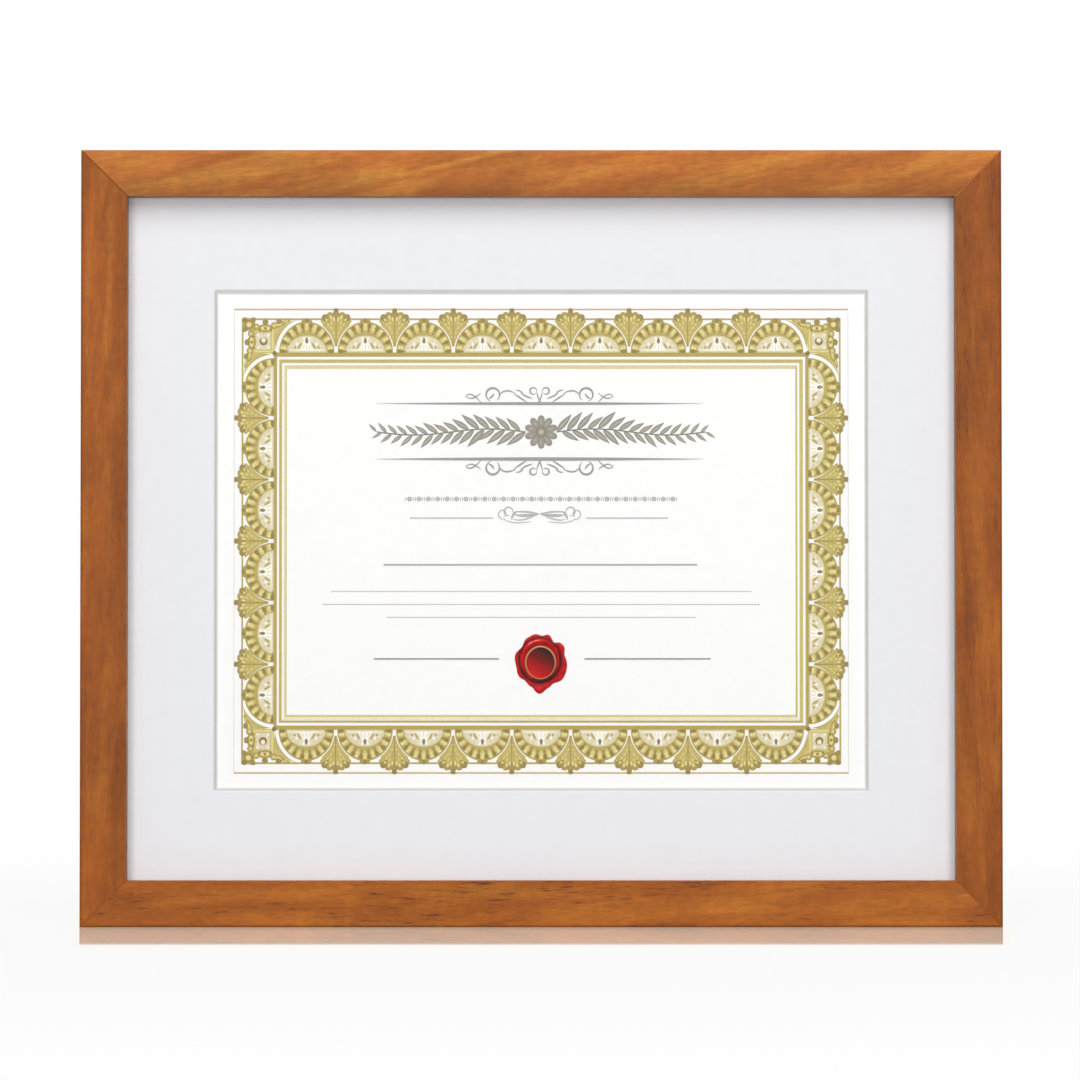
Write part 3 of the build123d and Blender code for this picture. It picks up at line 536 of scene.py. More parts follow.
def corner_drawing(hand):
    """One corner block, from the foot's corner outwards: collars and buds round a pearl. Hand mirrors it."""
    ink = drawing()
    foot = FOOT_HALF_WIDTH - ARCH_PITCH_ACROSS * (ARCHES_ACROSS - 1) / 2
    ring, lace = [], []
    for step in range(15):
        share = step / 14
        turn = math.radians(76 - 72 * share)
        p, q = (ARCH_HALF + CORNER_RING) * math.cos(turn), (ARCH_RISE + CORNER_RING) * math.sin(turn)
        ring.append((p - foot, q))
        lace.append((11.2 * share - 10.6, 14.1 - 1.9 * share ** 0.8))
    turned = [[(q * side_depth, p * side_pitch) for p, q in points] for points in (ring, lace)]
    for lines in ((ring, lace), turned):
        inner, outer = [[(hand * p, q) for p, q in points] for points in lines]
        ink_band(ink, inner, outer, 1, 0.42, 0.66)

    def place(outline, layer, edge, middle=None):
        """Adds one shape of the block on its own hand, keeping the outline anticlockwise."""
        outline = [(hand * p, q) for p, q in outline]
        ink_shape(ink, outline if hand > 0 else outline[::-1], layer, edge, middle)

    place([(-0.4, -0.4), (10.3, -0.4), (10.3, 11.6), (-0.4, 11.6)], 1, 0.56, 0.6)
    place([(7.9, 9.2), (13.1, 9.2), (13.1, 14.7), (7.9, 14.7)], 2, 0.4, 0.48)
    place([(0.2, 0.2), (0.8, 0.8), (0.8, 9.4), (0.2, 10.6)], 2, 0.7)
    place([(0.2, 0.2), (9.6, 0.2), (8.6, 0.8), (0.8, 0.8)], 2, 0.7)
    place([(1.4, 1.3), (7.6, 1.3), (7.6, 8.3), (1.4, 8.3)], 2, 0.83, 0.9)
    for p, q in ((2.3, 2.1), (6.7, 2.1), (6.7, 7.5), (2.3, 7.5)):
        place(egg(p, q, 0.7, 0.65, 0, 0, 10), 3, 0.92)

    # Each group of buds and collars is listed on the upper edge, and then on the outer one
    upwards, outwards = 0.0, math.pi / 2
    collars = (
        (3.6, 10.4, 1.8, 2.7, upwards), (-0.2, 11.5, 1.5, 1.5, -0.3), (-2.2, 12.0, 2.9, 1.2, -1.2),
        (-5.0, 13.3, 2.3, 0.6, -1.3), (7.3, 11.0, 1.4, 1.3, upwards),
        (9.5, 4.4, 1.8, 2.7, outwards), (10.1, 0.7, 1.5, 1.5, 1.9), (10.4, -1.4, 2.9, 1.2, 2.8),
        (11.8, -4.3, 2.3, 0.6, 2.9), (9.7, 8.0, 1.4, 1.3, outwards),
    )
    buds = (
        (3.6, 12.9, 1.1, 1.3, upwards), (-2.2, 13.2, 1.0, 1.2, upwards), (8.7, 14.0, 1.0, 1.1, upwards),
        (11.4, 4.4, 1.1, 1.3, outwards), (11.8, -1.6, 1.0, 1.2, outwards), (12.4, 9.8, 1.0, 1.1, outwards),
    )
    stripes = ((2.4, 10.3), (4.8, 10.3), (9.4, 3.2), (9.4, 5.6))
    for p, q, long, wide, turn in collars:
        place(egg(p, q, long, wide, turn, 0.15, 14), 3, 0.24, 0.5)
        place(egg(p, q, long * 0.6, wide * 0.66, turn, 0.15, 10), 4, 0.54, 0.72)
    for p, q, long, wide, turn in buds:
        place(egg(p, q, long, wide, turn, 0.2), 5, 0.08, 0.28)
    for p, q in stripes:
        place(egg(p, q, 0.9, 0.8, 0, 0, 10), 5, 0.64, 0.76)
    for p, q in ((1.2, 9.6), (3.6, 10.3), (6.0, 9.6), (8.7, 2.0), (9.4, 4.4), (8.7, 6.8)):
        place(egg(p, q, 0.6, 0.55, 0, 0, 8), 6, 0.12)
    place(egg(4.4, 4.8, 1.8, 1.75, 0, 0, 16), 4, 0.0, 0.2)
    place(egg(4.4, 5.3, 1.15, 1.05, 0, 0), 5, 0.84, 1.0)
    place(egg(10.6, 11.9, 2.0, 2.0, 0, 0, 16), 5, 0.14, 0.36)
    place(egg(10.6, 11.9, 1.2, 1.2, 0, 0), 6, 0.64, 0.76)
    place(egg(12.4, 13.9, 1.1, 1.1, 0, 0, 10), 5, 0.08)
    place(egg(-0.35, -0.35, 1.0, 1.0, 0, 0, 12), 6, 0.0)
    return ink


# A row of like motifs: count, place of the first, step, turn and stretch are its inputs
row_tree = bpy.data.node_groups.new("motif_row", "GeometryNodeTree")
row_inputs = {}
for label, kind in (("Motif", "Object"), ("Count", "Int"), ("First", "Vector"), ("Step", "Vector"),
                    ("Turn", "Vector"), ("Stretch", "Vector"), ("Ink", "Material")):
    socket = row_tree.interface.new_socket(label, in_out="INPUT", socket_type="NodeSocket" + kind)
    row_inputs[label] = socket.identifier
row_tree.interface.new_socket("Row", in_out="OUTPUT", socket_type="NodeSocketGeometry")
given = add(row_tree, "NodeGroupInput").outputs
points = {"Count": given["Count"], "Start Location": given["First"], "Offset": given["Step"]}
points = add(row_tree, "GeometryNodeMeshLine", points).outputs[0]
shape = add(row_tree, "GeometryNodeObjectInfo", {"Object": given["Motif"]}).outputs["Geometry"]
turn = add(row_tree, "FunctionNodeEulerToRotation", {0: given["Turn"]}).outputs[0]
copies = {"Points": points, "Instance": shape, "Rotation": turn, "Scale": given["Stretch"]}
copies = add(row_tree, "GeometryNodeInstanceOnPoints", copies).outputs[0]
copies = add(row_tree, "GeometryNodeRealizeInstances", {"Geometry": copies}).outputs[0]
inked = add(row_tree, "GeometryNodeSetMaterial", {"Geometry": copies, "Material": given["Ink"]}).outputs[0]
add(row_tree, "NodeGroupOutput", {0: inked})


def settle(tree, values):
    """Runs a tree with these inputs, by identifier, and returns the result as a plain mesh."""
    holder = linked(tree.name, bpy.data.meshes.new(tree.name))
    modifier = holder.modifiers.new(tree.name, "NODES")
    modifier.node_group = tree
    for identifier, value in values.items():
        modifier[identifier] = value
    graph = bpy.context.evaluated_depsgraph_get()
    made = holder.evaluated_get(graph)
    mesh = bpy.data.meshes.new_from_object(made, preserve_all_data_layers=True, depsgraph=graph)
    bpy.data.objects.remove(holder)
    return mesh


def row(shape, count, first, step, ink, turn=0.0, stretch=(1, 1, 1)):
    """A row of motifs on the sheet, in mm: the place of the first, the step to the next, and their turn."""
    values = {
        "Motif": shape,
        "Count": count,
        "First": Vector((first[0], 0, first[1])) * MM,
        "Step": Vector((step[0], 0, step[1])) * MM,
        "Turn": (0, turn, 0),
        "Stretch": stretch,
        "Ink": ink,
    }
    return settle(row_tree, {row_inputs[label]: value for label, value in values.items()})


def printed(name, ink, drawn, rows=()):
    """Joins a drawing and rows of motifs into one piece on the sheet, with its ink."""
    bmesh.ops.recalc_face_normals(drawn, faces=drawn.faces)
    for mesh in rows:
        drawn.from_mesh(mesh)
        bpy.data.meshes.remove(mesh)
    mesh = bpy.data.meshes.new(name)
    drawn.to_mesh(mesh)
    drawn.free()
    mesh.transform(Matrix.Translation(sheet_middle))
    mesh.materials.clear()
    mesh.materials.append(ink)
    piece = linked(name, mesh)
    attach(piece, "frame")


def printing_ink(name, stops, roughness):
    """Ink whose tone comes from the drawing, a little uneven where the paper's fibres show through."""
    material, tree = blank(name)
    tone = add(tree, "ShaderNodeAttribute", attribute_name="tone").outputs["Fac"]
    spot = add(tree, "ShaderNodeTexCoord").outputs["Object"]
    # The fibres are drawn coarser than real ones, at 0.5 mm, so that they show
    speckle = {"Vector": spot, "Scale": 1 / (0.5 * MM), "Detail": 2}
    speckle = add(tree, "ShaderNodeTexNoise", speckle).outputs["Fac"]
    uneven = {"Value": speckle, "From Min": 0.3, "From Max": 0.7, "To Min": -0.05, "To Max": 0.05}
    uneven = add(tree, "ShaderNodeMapRange", uneven).outputs[0]
    tone = add(tree, "ShaderNodeMath", {0: tone, 1: uneven}, operation="ADD").outputs[0]
    colour = add(tree, "ShaderNodeValToRGB", {0: tone}, stops).outputs[0]
    relief = {"Strength": 0.2, "Distance": 0.01 * MM, "Height": speckle}
    surface = {
        "Base Color": colour,
        "Roughness": roughness,
        "Normal": add(tree, "ShaderNodeBump", relief).outputs[0],
    }
    shader = add(tree, "ShaderNodeBsdfPrincipled", surface)
    add(tree, "ShaderNodeOutputMaterial", {0: shader.outputs[0]})
    return material


gold_tones = [
    (0.0, "#7F6A27"), (0.2, "#97823A"), (0.45, "#B6A250"), (0.64, "#D2C376"), (0.73, "#E6DB96"),
    (0.8, "#D0C394"), (0.9, "#EAE2C9"), (1.0, "#FDFCF8"),
]
gold_ink = printing_ink("gold_printing_ink", gold_tones, 0.5)
side_pitch = ARCH_PITCH_UP / ARCH_PITCH_ACROSS
side_depth = (BORDER_HALF_WIDTH - FOOT_HALF_WIDTH) / (BORDER_HALF_HEIGHT - FOOT_HALF_HEIGHT)
arch = motif("arch_motif", arch_drawing())
crest = motif("crest_motif", crest_drawing(ARCH_PITCH_ACROSS))
right_block, left_block = [motif("corner_motif", corner_drawing(hand)) for hand in (1, -1)]
upright = (1, 1, 1)
sideways = (side_pitch, 1, side_depth)
CREST_ASIDE = 0.955
# Turn of each side, number of arches, their pitch, how far out their foot lies, and their stretch
sides = (
    (0, ARCHES_ACROSS, ARCH_PITCH_ACROSS, FOOT_HALF_HEIGHT, upright),
    (math.pi / 2, ARCHES_UP, ARCH_PITCH_UP, FOOT_HALF_WIDTH, sideways),
    (math.pi, ARCHES_ACROSS, ARCH_PITCH_ACROSS, FOOT_HALF_HEIGHT, upright),
    (-math.pi / 2, ARCHES_UP, ARCH_PITCH_UP, FOOT_HALF_WIDTH, sideways),
)
border_rows = []
for turn, count, pitch, reach, stretch in sides:
    along = Vector((math.cos(turn), -math.sin(turn)))
    outward = Vector((math.sin(turn), math.cos(turn)))
    for shape, copies in ((arch, count), (crest, count - 1)):
        first = outward * reach - along * pitch * (copies - 1) / 2
        depth = CREST_ASIDE if shape is crest and stretch is sideways else 1
        stretched = (stretch[0], 1, stretch[2] * depth)
        border_rows.append(row(shape, copies, first, along * pitch, gold_ink, turn, stretched))
blocks = (
    (right_block, 0, 1, 1),
    (left_block, 0, -1, 1),
    (right_block, math.pi, -1, -1),
    (left_block, math.pi, 1, -1),
)
for shape, turn, side, level in blocks:
    corner = (side * FOOT_HALF_WIDTH, level * FOOT_HALF_HEIGHT)
    border_rows.append(row(shape, 1, corner, (0, 0), gold_ink, turn))

# Rules, as half width, half height, thickness across and up, layer and tone
rules = drawing()
border_rules = (
    (130.6, 98.6, 0.16, 0.68, 0.5, 0.5),
    (BORDER_HALF_WIDTH, BORDER_HALF_HEIGHT, 0.75, 0.8, 0.5, 0.4),
    (FOOT_HALF_WIDTH - BAR_UPRIGHT / 2, FOOT_HALF_HEIGHT - BAR_LEVEL / 2, BAR_UPRIGHT, BAR_LEVEL, 3, 0.38),
)
for half_p, half_q, thick_p, thick_q, layer, tone in border_rules:
    inner = rectangle(half_p - thick_p / 2, half_q - thick_q / 2)
    outer = rectangle(half_p + thick_p / 2, half_q + thick_q / 2)
    ink_band(rules, inner, outer, layer, tone, tone, closed=True)

# Two inner rules of uneven width, and a pale band between them at the foot and the left: how far the edges of
# the foot, right, head and left lie from the middle, inner and outer, and the tone of each
inner_rules = (
    ((76.35, 109.85, 75.8, 110.3), (77.3, 111.4, 77.3, 111.5), (0.46, 0.56, 0.5, 0.5)),
    ((73.95, 108.2, 73.25, 108.15), (74.85, 108.95, 74.85, 109.25), (0.62, 0.5, 0.8, 0.8)),
    ((74.9, 108.95, 74.85, 109.25), (76.3, 109.8, 75.8, 110.25), (0.9, None, None, 0.96)),
)
for near, far, tones in inner_rules:
    edges = []
    for foot, right, head, left in (near, far):
        edges.append([(-left, -foot), (right, -foot), (right, head), (-left, head)])
    for side, tone in enumerate(tones):
        ends = (side, (side + 1) % 4)
        if tone is not None:
            inner, outer = [[edge[end] for end in ends] for edge in edges]
            ink_band(rules, inner, outer, 1, tone, tone)
printed("printed_gold_border", gold_ink, rules, border_rows)
for shape in (arch, crest, right_block, left_block):
    bpy.data.objects.remove(shape)


# Printed ornaments
# A garland of laurel between two swelling rules with pen scrolls, a beaded line, a divider with two wings,
# and plain rules to be filled in by hand, all in khaki and grey inks. The scrolls, the wings and the swelling
# rules lie a little to the left of the middle.
ORNAMENT_ASIDE = 0.7


def pen_stroke(p, q, heading, length, curl, power, thick, thin=0.2):
    """Both sides of a pen stroke in mm that curls more and more, up to curl degrees per mm at its end."""
    steps = 48
    inner, outer = [], []
    for step in range(steps + 1):
        share = step / steps
        angle = math.radians(heading)
        half = (thin + (thick - thin) * max(0.0, math.sin(math.pi * share)) ** 0.8) / 2
        inner.append((p - half * math.sin(angle), q + half * math.cos(angle)))
        outer.append((p + half * math.sin(angle), q - half * math.cos(angle)))
        p += math.cos(angle) * length / steps
        q += math.sin(angle) * length / steps
        heading += curl * share ** power * length / steps
    return inner, outer


def flourish(ink, level, flip, strokes, tone):
    """Draws strokes right of the middle and again, mirrored, left of it; flip turns them upside down."""
    for place, values in enumerate(strokes):
        lines = pen_stroke(*values)
        for side in (1, -1):
            edges = []
            for line in lines:
                edges.append([(side * p - ORNAMENT_ASIDE, level + flip * q) for p, q in line])
            ink_band(ink, *edges, 1 + 0.1 * place + 0.05 * side, tone, tone)


khaki_ink = printing_ink("khaki_printing_ink", [(0.0, "#7D796B"), (0.5, "#9A9688"), (1.0, "#C2BEB0")], 0.6)
grey_tones = [
    (0.0, "#4F4F50"), (0.3, "#747676"), (0.42, "#979A99"), (0.55, "#A18F8A"), (0.8, "#B2B2B1"),
    (1.0, "#D0D0D0"),
]
grey_ink = printing_ink("grey_printing_ink", grey_tones, 0.6)

# One tree grows leaves in pairs along a stem, smaller towards its end
leaf_tree = bpy.data.node_groups.new("leaves_on_stem", "GeometryNodeTree")
leaf_inputs = {}
for label, kind in (("Stem", "Object"), ("Leaf", "Object"), ("Count", "Int"), ("Lean", "Float"),
                    ("Last size", "Float"), ("Seed", "Int"), ("Ink", "Material")):
    socket = leaf_tree.interface.new_socket(label, in_out="INPUT", socket_type="NodeSocket" + kind)
    leaf_inputs[label] = socket.identifier
leaf_tree.interface.new_socket("Leaves", in_out="OUTPUT", socket_type="NodeSocketGeometry")
given = add(leaf_tree, "NodeGroupInput").outputs
stem = add(leaf_tree, "GeometryNodeObjectInfo", {"Object": given["Stem"]}).outputs["Geometry"]
points = {"Curve": stem, "Count": given["Count"]}
points = add(leaf_tree, "GeometryNodeCurveToPoints", points, mode="COUNT").outputs
index = add(leaf_tree, "GeometryNodeInputIndex").outputs[0]
way = add(leaf_tree, "ShaderNodeSeparateXYZ", {0: points["Tangent"]}).outputs
turn = add(leaf_tree, "ShaderNodeMath", {0: way["X"], 1: way["Z"]}, operation="ARCTAN2").outputs[0]
parity = add(leaf_tree, "ShaderNodeMath", {0: index, 1: 2}, operation="MODULO").outputs[0]
parity = add(leaf_tree, "ShaderNodeMath", {0: parity, 1: 2, 2: -1}, operation="MULTIPLY_ADD").outputs[0]
wobble = {2: 0.86, 3: 1.14, "ID": index, "Seed": given["Seed"]}
wobble = add(leaf_tree, "FunctionNodeRandomValue", wobble, data_type="FLOAT").outputs[1]
lean = add(leaf_tree, "ShaderNodeMath", {0: given["Lean"], 1: wobble}, operation="MULTIPLY").outputs[0]
turn = add(leaf_tree, "ShaderNodeMath", {0: parity, 1: lean, 2: turn}, operation="MULTIPLY_ADD").outputs[0]
turn = add(leaf_tree, "ShaderNodeCombineXYZ", {"Y": turn}).outputs[0]
turn = add(leaf_tree, "FunctionNodeEulerToRotation", {0: turn}).outputs[0]
share = add(leaf_tree, "ShaderNodeMath", {0: index, 1: given["Count"]}, operation="DIVIDE").outputs[0]
size = {"Value": share, "From Min": 0.35, "From Max": 1.0, "To Min": 1.0, "To Max": given["Last size"]}
size = add(leaf_tree, "ShaderNodeMapRange", size).outputs[0]
size = add(leaf_tree, "ShaderNodeMath", {0: size, 1: wobble}, operation="MULTIPLY").outputs[0]
copies = {"Points": points["Points"], "Rotation": turn, "Scale": size}
copies["Instance"] = add(leaf_tree, "GeometryNodeObjectInfo", {"Object": given["Leaf"]}).outputs["Geometry"]
copies = add(leaf_tree, "GeometryNodeInstanceOnPoints", copies).outputs[0]
copies = add(leaf_tree, "GeometryNodeRealizeInstances", {"Geometry": copies}).outputs[0]
inked = add(leaf_tree, "GeometryNodeSetMaterial", {"Geometry": copies, "Material": given["Ink"]}).outputs[0]
add(leaf_tree, "NodeGroupOutput", {0: inked})

GARLAND_LEVEL, GARLAND_START, GARLAND_END, GARLAND_SWAY = 46.4, 6.5, 70.0, 1.3
LEAF_LONG, LEAF_WIDE = 9.6, 2.6
STEM_HALF = 0.28
leaf = drawing()
blade = []
for side in (1, -1):
    for step in range(7):
        share = step / 7 if side == 1 else 1 - step / 7
        blade.append((side * LEAF_WIDE / 2 * math.sin(math.pi * share ** 0.8), LEAF_LONG * share))
ink_shape(leaf, blade, 1, 0.28, 0.62)
ink_shape(leaf, egg(0, LEAF_LONG * 0.45, LEAF_LONG * 0.38, 0.16, 0, 0, 6), 3, 1.0)
leaf = motif("laurel_leaf_motif", leaf)
garland = drawing()
garland_rows = []
for side in (1, -1):
    stem = bpy.data.curves.new("laurel_stem", "CURVE")
    stem.dimensions = "3D"
    spline = stem.splines.new("POLY")
    steps = 40
    spline.points.add(steps)
    line = []
    for step in range(steps + 1):
        share = step / steps
        p = side * (GARLAND_START + (GARLAND_END - GARLAND_START) * share)
        q = GARLAND_LEVEL + GARLAND_SWAY * math.sin(2 * math.pi * share)
        spline.points[step].co = (p * MM, 0, q * MM, 1)
        line.append((p, q))
    lower = [(p, q - STEM_HALF) for p, q in line]
    upper = [(p, q + STEM_HALF) for p, q in line]
    ink_band(garland, lower, upper, 4, 0.1, 0.1)
    stem = linked("laurel_stem", stem)
    values = {
        "Stem": stem,
        "Leaf": leaf,
        "Count": 30,
        "Lean": math.radians(40),
        "Last size": 0.5,
        "Seed": 4,
        "Ink": khaki_ink,
    }
    garland_rows.append(settle(leaf_tree, {leaf_inputs[label]: value for label, value in values.items()}))
    bpy.data.objects.remove(stem)
PETALS, PETAL_REACH = 10, 4.2
for petal in range(PETALS):
    turn = 2 * math.pi * petal / PETALS
    p, q = PETAL_REACH * math.sin(turn), GARLAND_LEVEL + PETAL_REACH * math.cos(turn)
    ink_shape(garland, egg(p, q, 3.0, 1.5, turn, 0.3), 2 + petal % 2, 0.2, 0.7)
ink_shape(garland, egg(0, GARLAND_LEVEL, 2.3, 2.3, 0, 0, 16), 5, 0.1, 0.4)
ink_shape(garland, egg(0, GARLAND_LEVEL, 1.2, 1.2, 0, 0), 6, 0.7, 1.0)
printed("printed_laurel_garland", khaki_ink, garland, garland_rows)
bpy.data.objects.remove(leaf)

# Pen scrolls above and below the garland: start, heading, length, curl at the end, power and thickness
ornaments = drawing()
scrolls = (
    (1.2, 5.05, 90, 8.3, -41, 0.02, 0.75),
    (1.2, 5.15, -100, 6.0, -14, 0.8, 0.6),
    (3.0, 2.1, 18, 5.8, 10, 1.0, 0.75),
    (6.9, 4.4, 40, 3.6, -24, 0.6, 0.6),
    (5.4, 0.6, 33, 6.6, 0, 1.0, 0.75),
    (10.1, 4.3, 26, 8.3, -24, 0.8, 0.7),
    (18.1, 1.4, 132, 15.1, -20.5, 0.02, 0.95),
    (19.3, 4.4, -62, 3.4, 30, 0.8, 0.8),
    (24.9, 0.6, 44, 8.6, -74, 2.6, 0.6),
    (25.0, 4.4, -38, 6.8, 40, 1.6, 0.6),
)
RULE_HALF, RULE_STEPS = 69.7, 40
SCROLL_TONE, WING_TONE = 0.42, 0.8
for level, flip, thick in ((58.5, 1, 1.2), (34.9, -1, 1.4)):
    flourish(ornaments, level, flip, scrolls, SCROLL_TONE)
    lower, upper = [], []
    for step in range(RULE_STEPS + 1):
        p = RULE_HALF * (2 * step / RULE_STEPS - 1) - ORNAMENT_ASIDE
        half = 0.03 + thick / 2 * math.sin(math.pi * step / RULE_STEPS) ** 0.9
        lower.append((p, level - half))
        upper.append((p, level + half))
    ink_band(ornaments, lower, upper, 3, SCROLL_TONE, SCROLL_TONE)
wings = (
    (0.2, 0.3, 10, 10.8, -4, 1.0, 0.8),
    (0.4, 0.0, -10, 10.5, 6, 1.0, 0.8),
    (1.6, -0.3, -24, 10.0, 9, 1.0, 0.6),
    (1.0, 0.1, -2, 10.0, 0, 1.0, 0.5),
    (3.6, -3.0, -8, 12.0, 7, 1.0, 0.4),
    (11.2, 0.4, 96, 10.0, -33, 0.1, 0.6),
    (9.4, 1.5, -35, 4.8, -22, 0.6, 1.0),
    (14.4, -2.0, -4, 11.0, 42, 0.3, 0.5),
)
WING_LEVEL = 11.3
flourish(ornaments, WING_LEVEL, 1, wings, WING_TONE)

# Plain rules, as the two ends, the level, the thickness and the tone
plain_rules = (
    (-55.8, -20.4, 9.8, 0.45, 0.8),
    (19.1, 54.0, 9.8, 0.45, 0.8),
    (-67.0, 66.4, -10.1, 0.64, 0.68),
    (-71.1, -17.9, -50.1, 0.56, 0.36),
    (18.4, 72.0, -50.1, 0.56, 0.36),
)
for start, end, level, thick, tone in plain_rules:
    low, high = level - thick / 2, level + thick / 2
    ink_shape(ornaments, [(start, low), (end, low), (end, high), (start, high)], 1, tone)

# A row of beads, and rows of dots as half length and level
bead = drawing()
ink_shape(bead, egg(0, 0, 1.05, 1.05, 0, 0), 1, 0.7, 0.95)
for side in (-1, 1):
    ink_shape(bead, egg(side * 1.55, 0, 1.0, 0.24, 0, 0, 8), 1, 0.76)
bead = motif("bead_motif", bead)
dot = drawing()
ink_shape(dot, egg(0, 0, 0.3, 0.42, 0, 0, 8), 1, 0.55)
dot = motif("dot_motif", dot)
BEADS, BEAD_PITCH, BEAD_LEVEL = 29, 4.0, 17.85
ornament_rows = [row(bead, BEADS, (-BEAD_PITCH * (BEADS - 1) / 2, BEAD_LEVEL), (BEAD_PITCH, 0), grey_ink)]
DOT_PITCH = 1.25
for half, level in ((88.8, -21.5), (92.4, -27.0), (65.4, -32.5)):
    dots = 2 * round(half / DOT_PITCH) + 1
    ornament_rows.append(row(dot, dots, (-DOT_PITCH * (dots - 1) / 2, level), (DOT_PITCH, 0), grey_ink))
printed("printed_grey_ornaments", grey_ink, ornaments, ornament_rows)
for shape in (bead, dot):
    bpy.data.objects.remove(shape)

# Wax seal
# Red sealing wax, poured on the sheet and pressed with a round stamp while soft, so it squeezed out in uneven
# lobes and one drip round a smooth dish. The stamp left a gilt ring at the edge of the dish.
# The wax's tones carry painted highlights and painted shade
SEAL_MIDDLE = Vector((-0.27, -51.8))
RING_HALF_WIDTH, RING_HALF_HEIGHT = 6.35, 6.9
DISH_HEIGHT, DISH_TONE = 0.5, 0.36
seal_lobes = (
    # Direction in degrees and radius in mm of each lobe and dent, anticlockwise from the right
    (4, 11.1), (17, 10.7), (36, 12.2), (45, 12.0), (56, 10.4), (75, 12.4), (86, 11.5),
    (101, 12.4), (118, 12.0), (141, 10.4), (162, 11.3), (190, 10.5), (211, 10.9), (229, 10.1),
    (248, 10.9), (268, 13.2), (287, 11.2), (301, 10.4), (324, 11.7), (354, 11.4), (364, 11.1),
)


def seal_edge(turn):
    """Radius of the wax in a direction in radians, eased from lobe to dent."""
    first = seal_lobes[0][0]
    degrees = (math.degrees(turn) - first) % 360 + first
    for (before, low), (after, high) in zip(seal_lobes, seal_lobes[1:]):
        if degrees <= after:
            share = (1 - math.cos(math.pi * (degrees - before) / (after - before))) / 2
            return low + (high - low) * share
    return seal_lobes[0][1]


def seal_ring(turn):
    """Radius of the stamp's ring in a direction in radians."""
    return 1 / math.hypot(math.cos(turn) / RING_HALF_WIDTH, math.sin(turn) / RING_HALF_HEIGHT)


def seal_surface(radius, edge, turn):
    """Height in mm and tone of the wax at a radius, where edge is the outline's radius there. The tone
    carries painted light and shade.
    """
    p, q = radius * math.cos(turn), radius * math.sin(turn)
    ring = seal_ring(turn)
    if radius < ring:
        # The flat dish is painted dark at the top right and bright at the bottom left: painted shade and
        # painted light
        return DISH_HEIGHT, max(0.0, DISH_TONE - 0.44 * (0.45 * p + 0.9 * q) / ring)
    share = (radius - ring) / (edge - ring)
    lumps = noise.noise(Vector((p * 0.42, q * 0.42, 2.5))) + 0.5 * noise.noise(Vector((p, q, 7.0)))
    # A groove parts the stamp's collar from the rolled edge, and lies nearer to the edge at the top
    reach = math.hypot((p + 0.3) / 8.9, (q - 1.1) / 9.5)
    groove = math.exp(-((reach - 1 - 0.03 * lumps) / 0.07) ** 2)
    collar = math.exp(-((reach - 0.88) / 0.1) ** 2)
    roll = math.exp(-((share - 0.8) / 0.25) ** 2)
    height = 0.3 + 0.75 * collar + 0.6 * roll - 0.25 * groove
    height *= math.sqrt(max(0.0, 1 - share ** 5))
    # The tone carries painted light and shade: a painted highlight on the collar at the top left, a little
    # painted light on the roll, and painted shade in the groove and beside the ring
    facing = math.cos(turn - math.radians(112))
    glint = max(0.0, facing) ** 8 * math.exp(-((reach - 0.9) / 0.06) ** 2)
    ring_side_painted_shade = math.exp(-((radius - ring) / 0.7) ** 2)
    tone = 0.56 + 0.12 * collar * facing + 0.42 * glint
    tone += 0.1 * roll + 0.22 * lumps - 0.5 * groove - 0.28 * ring_side_painted_shade
    return max(height, 0.06), min(1.0, max(0.05, tone))


def seal_mesh(turns=144, rings=46):
    """The wax as one closed skin, ring by ring from the middle to the edge, on a flat foot."""
    wax = drawing()
    tone = wax.verts.layers.float["tone"]
    grid = []
    for ring in range(1, rings + 1):
        line = []
        for step in range(turns):
            turn = 2 * math.pi * step / turns
            edge = seal_edge(turn)
            share = ring / rings
            radius = share * edge
            height, value = seal_surface(radius, edge, turn)
            point = wax.verts.new((radius * math.cos(turn) * MM, -height * MM, radius * math.sin(turn) * MM))
            point[tone] = value
            line.append(point)
        grid.append(line)
    foot = [wax.verts.new((point.co.x, 0, point.co.z)) for point in grid[-1]]
    middle = wax.verts.new((0, -DISH_HEIGHT * MM, 0))
    middle[tone] = DISH_TONE
    for step in range(turns):
        after = (step + 1) % turns
        wax.faces.new((middle, grid[0][step], grid[0][after]))
        for near, far in zip(grid, grid[1:] + [foot]):
            wax.faces.new((near[step], far[step], far[after], near[after]))
    wax.faces.new(foot)
    return wax


material, tree = blank("red_sealing_wax")
tone = add(tree, "ShaderNodeAttribute", attribute_name="tone").outputs["Fac"]
# The darkest reds stand for painted shade and the pale pink at the top for a painted highlight
wax_reds_and_painted_light = [
    (0.0, "#2E0C06"), (0.25, "#6C0809"), (0.5, "#A50A0E"), (0.72, "#CC1215"), (0.9, "#E02E2E"),
    (1.0, "#EE8A82"),
]
colour = add(tree, "ShaderNodeValToRGB", {0: tone}, wax_reds_and_painted_light).outputs[0]
spot = add(tree, "ShaderNodeTexCoord").outputs["Object"]
ripple = {"Vector": spot, "Scale": 1 / (1.6 * MM), "Detail": 3}
ripple = add(tree, "ShaderNodeTexNoise", ripple).outputs["Fac"]
sheen = {"Value": ripple, "From Min": 0.3, "From Max": 0.7, "To Min": 0.28, "To Max": 0.45}
relief = {"Strength": 0.2, "Distance": 0.05 * MM, "Height": ripple}
surface = {
    "Base Color": colour,
    "Roughness": add(tree, "ShaderNodeMapRange", sheen).outputs[0],
    "Specular IOR Level": 0.12,
    "Normal": add(tree, "ShaderNodeBump", relief).outputs[0],
}
shader = add(tree, "ShaderNodeBsdfPrincipled", surface)
add(tree, "ShaderNodeOutputMaterial", {0: shader.outputs[0]})
seal_place = Matrix.Translation(sheet_middle + Vector((SEAL_MIDDLE.x, 0, SEAL_MIDDLE.y)) * MM)
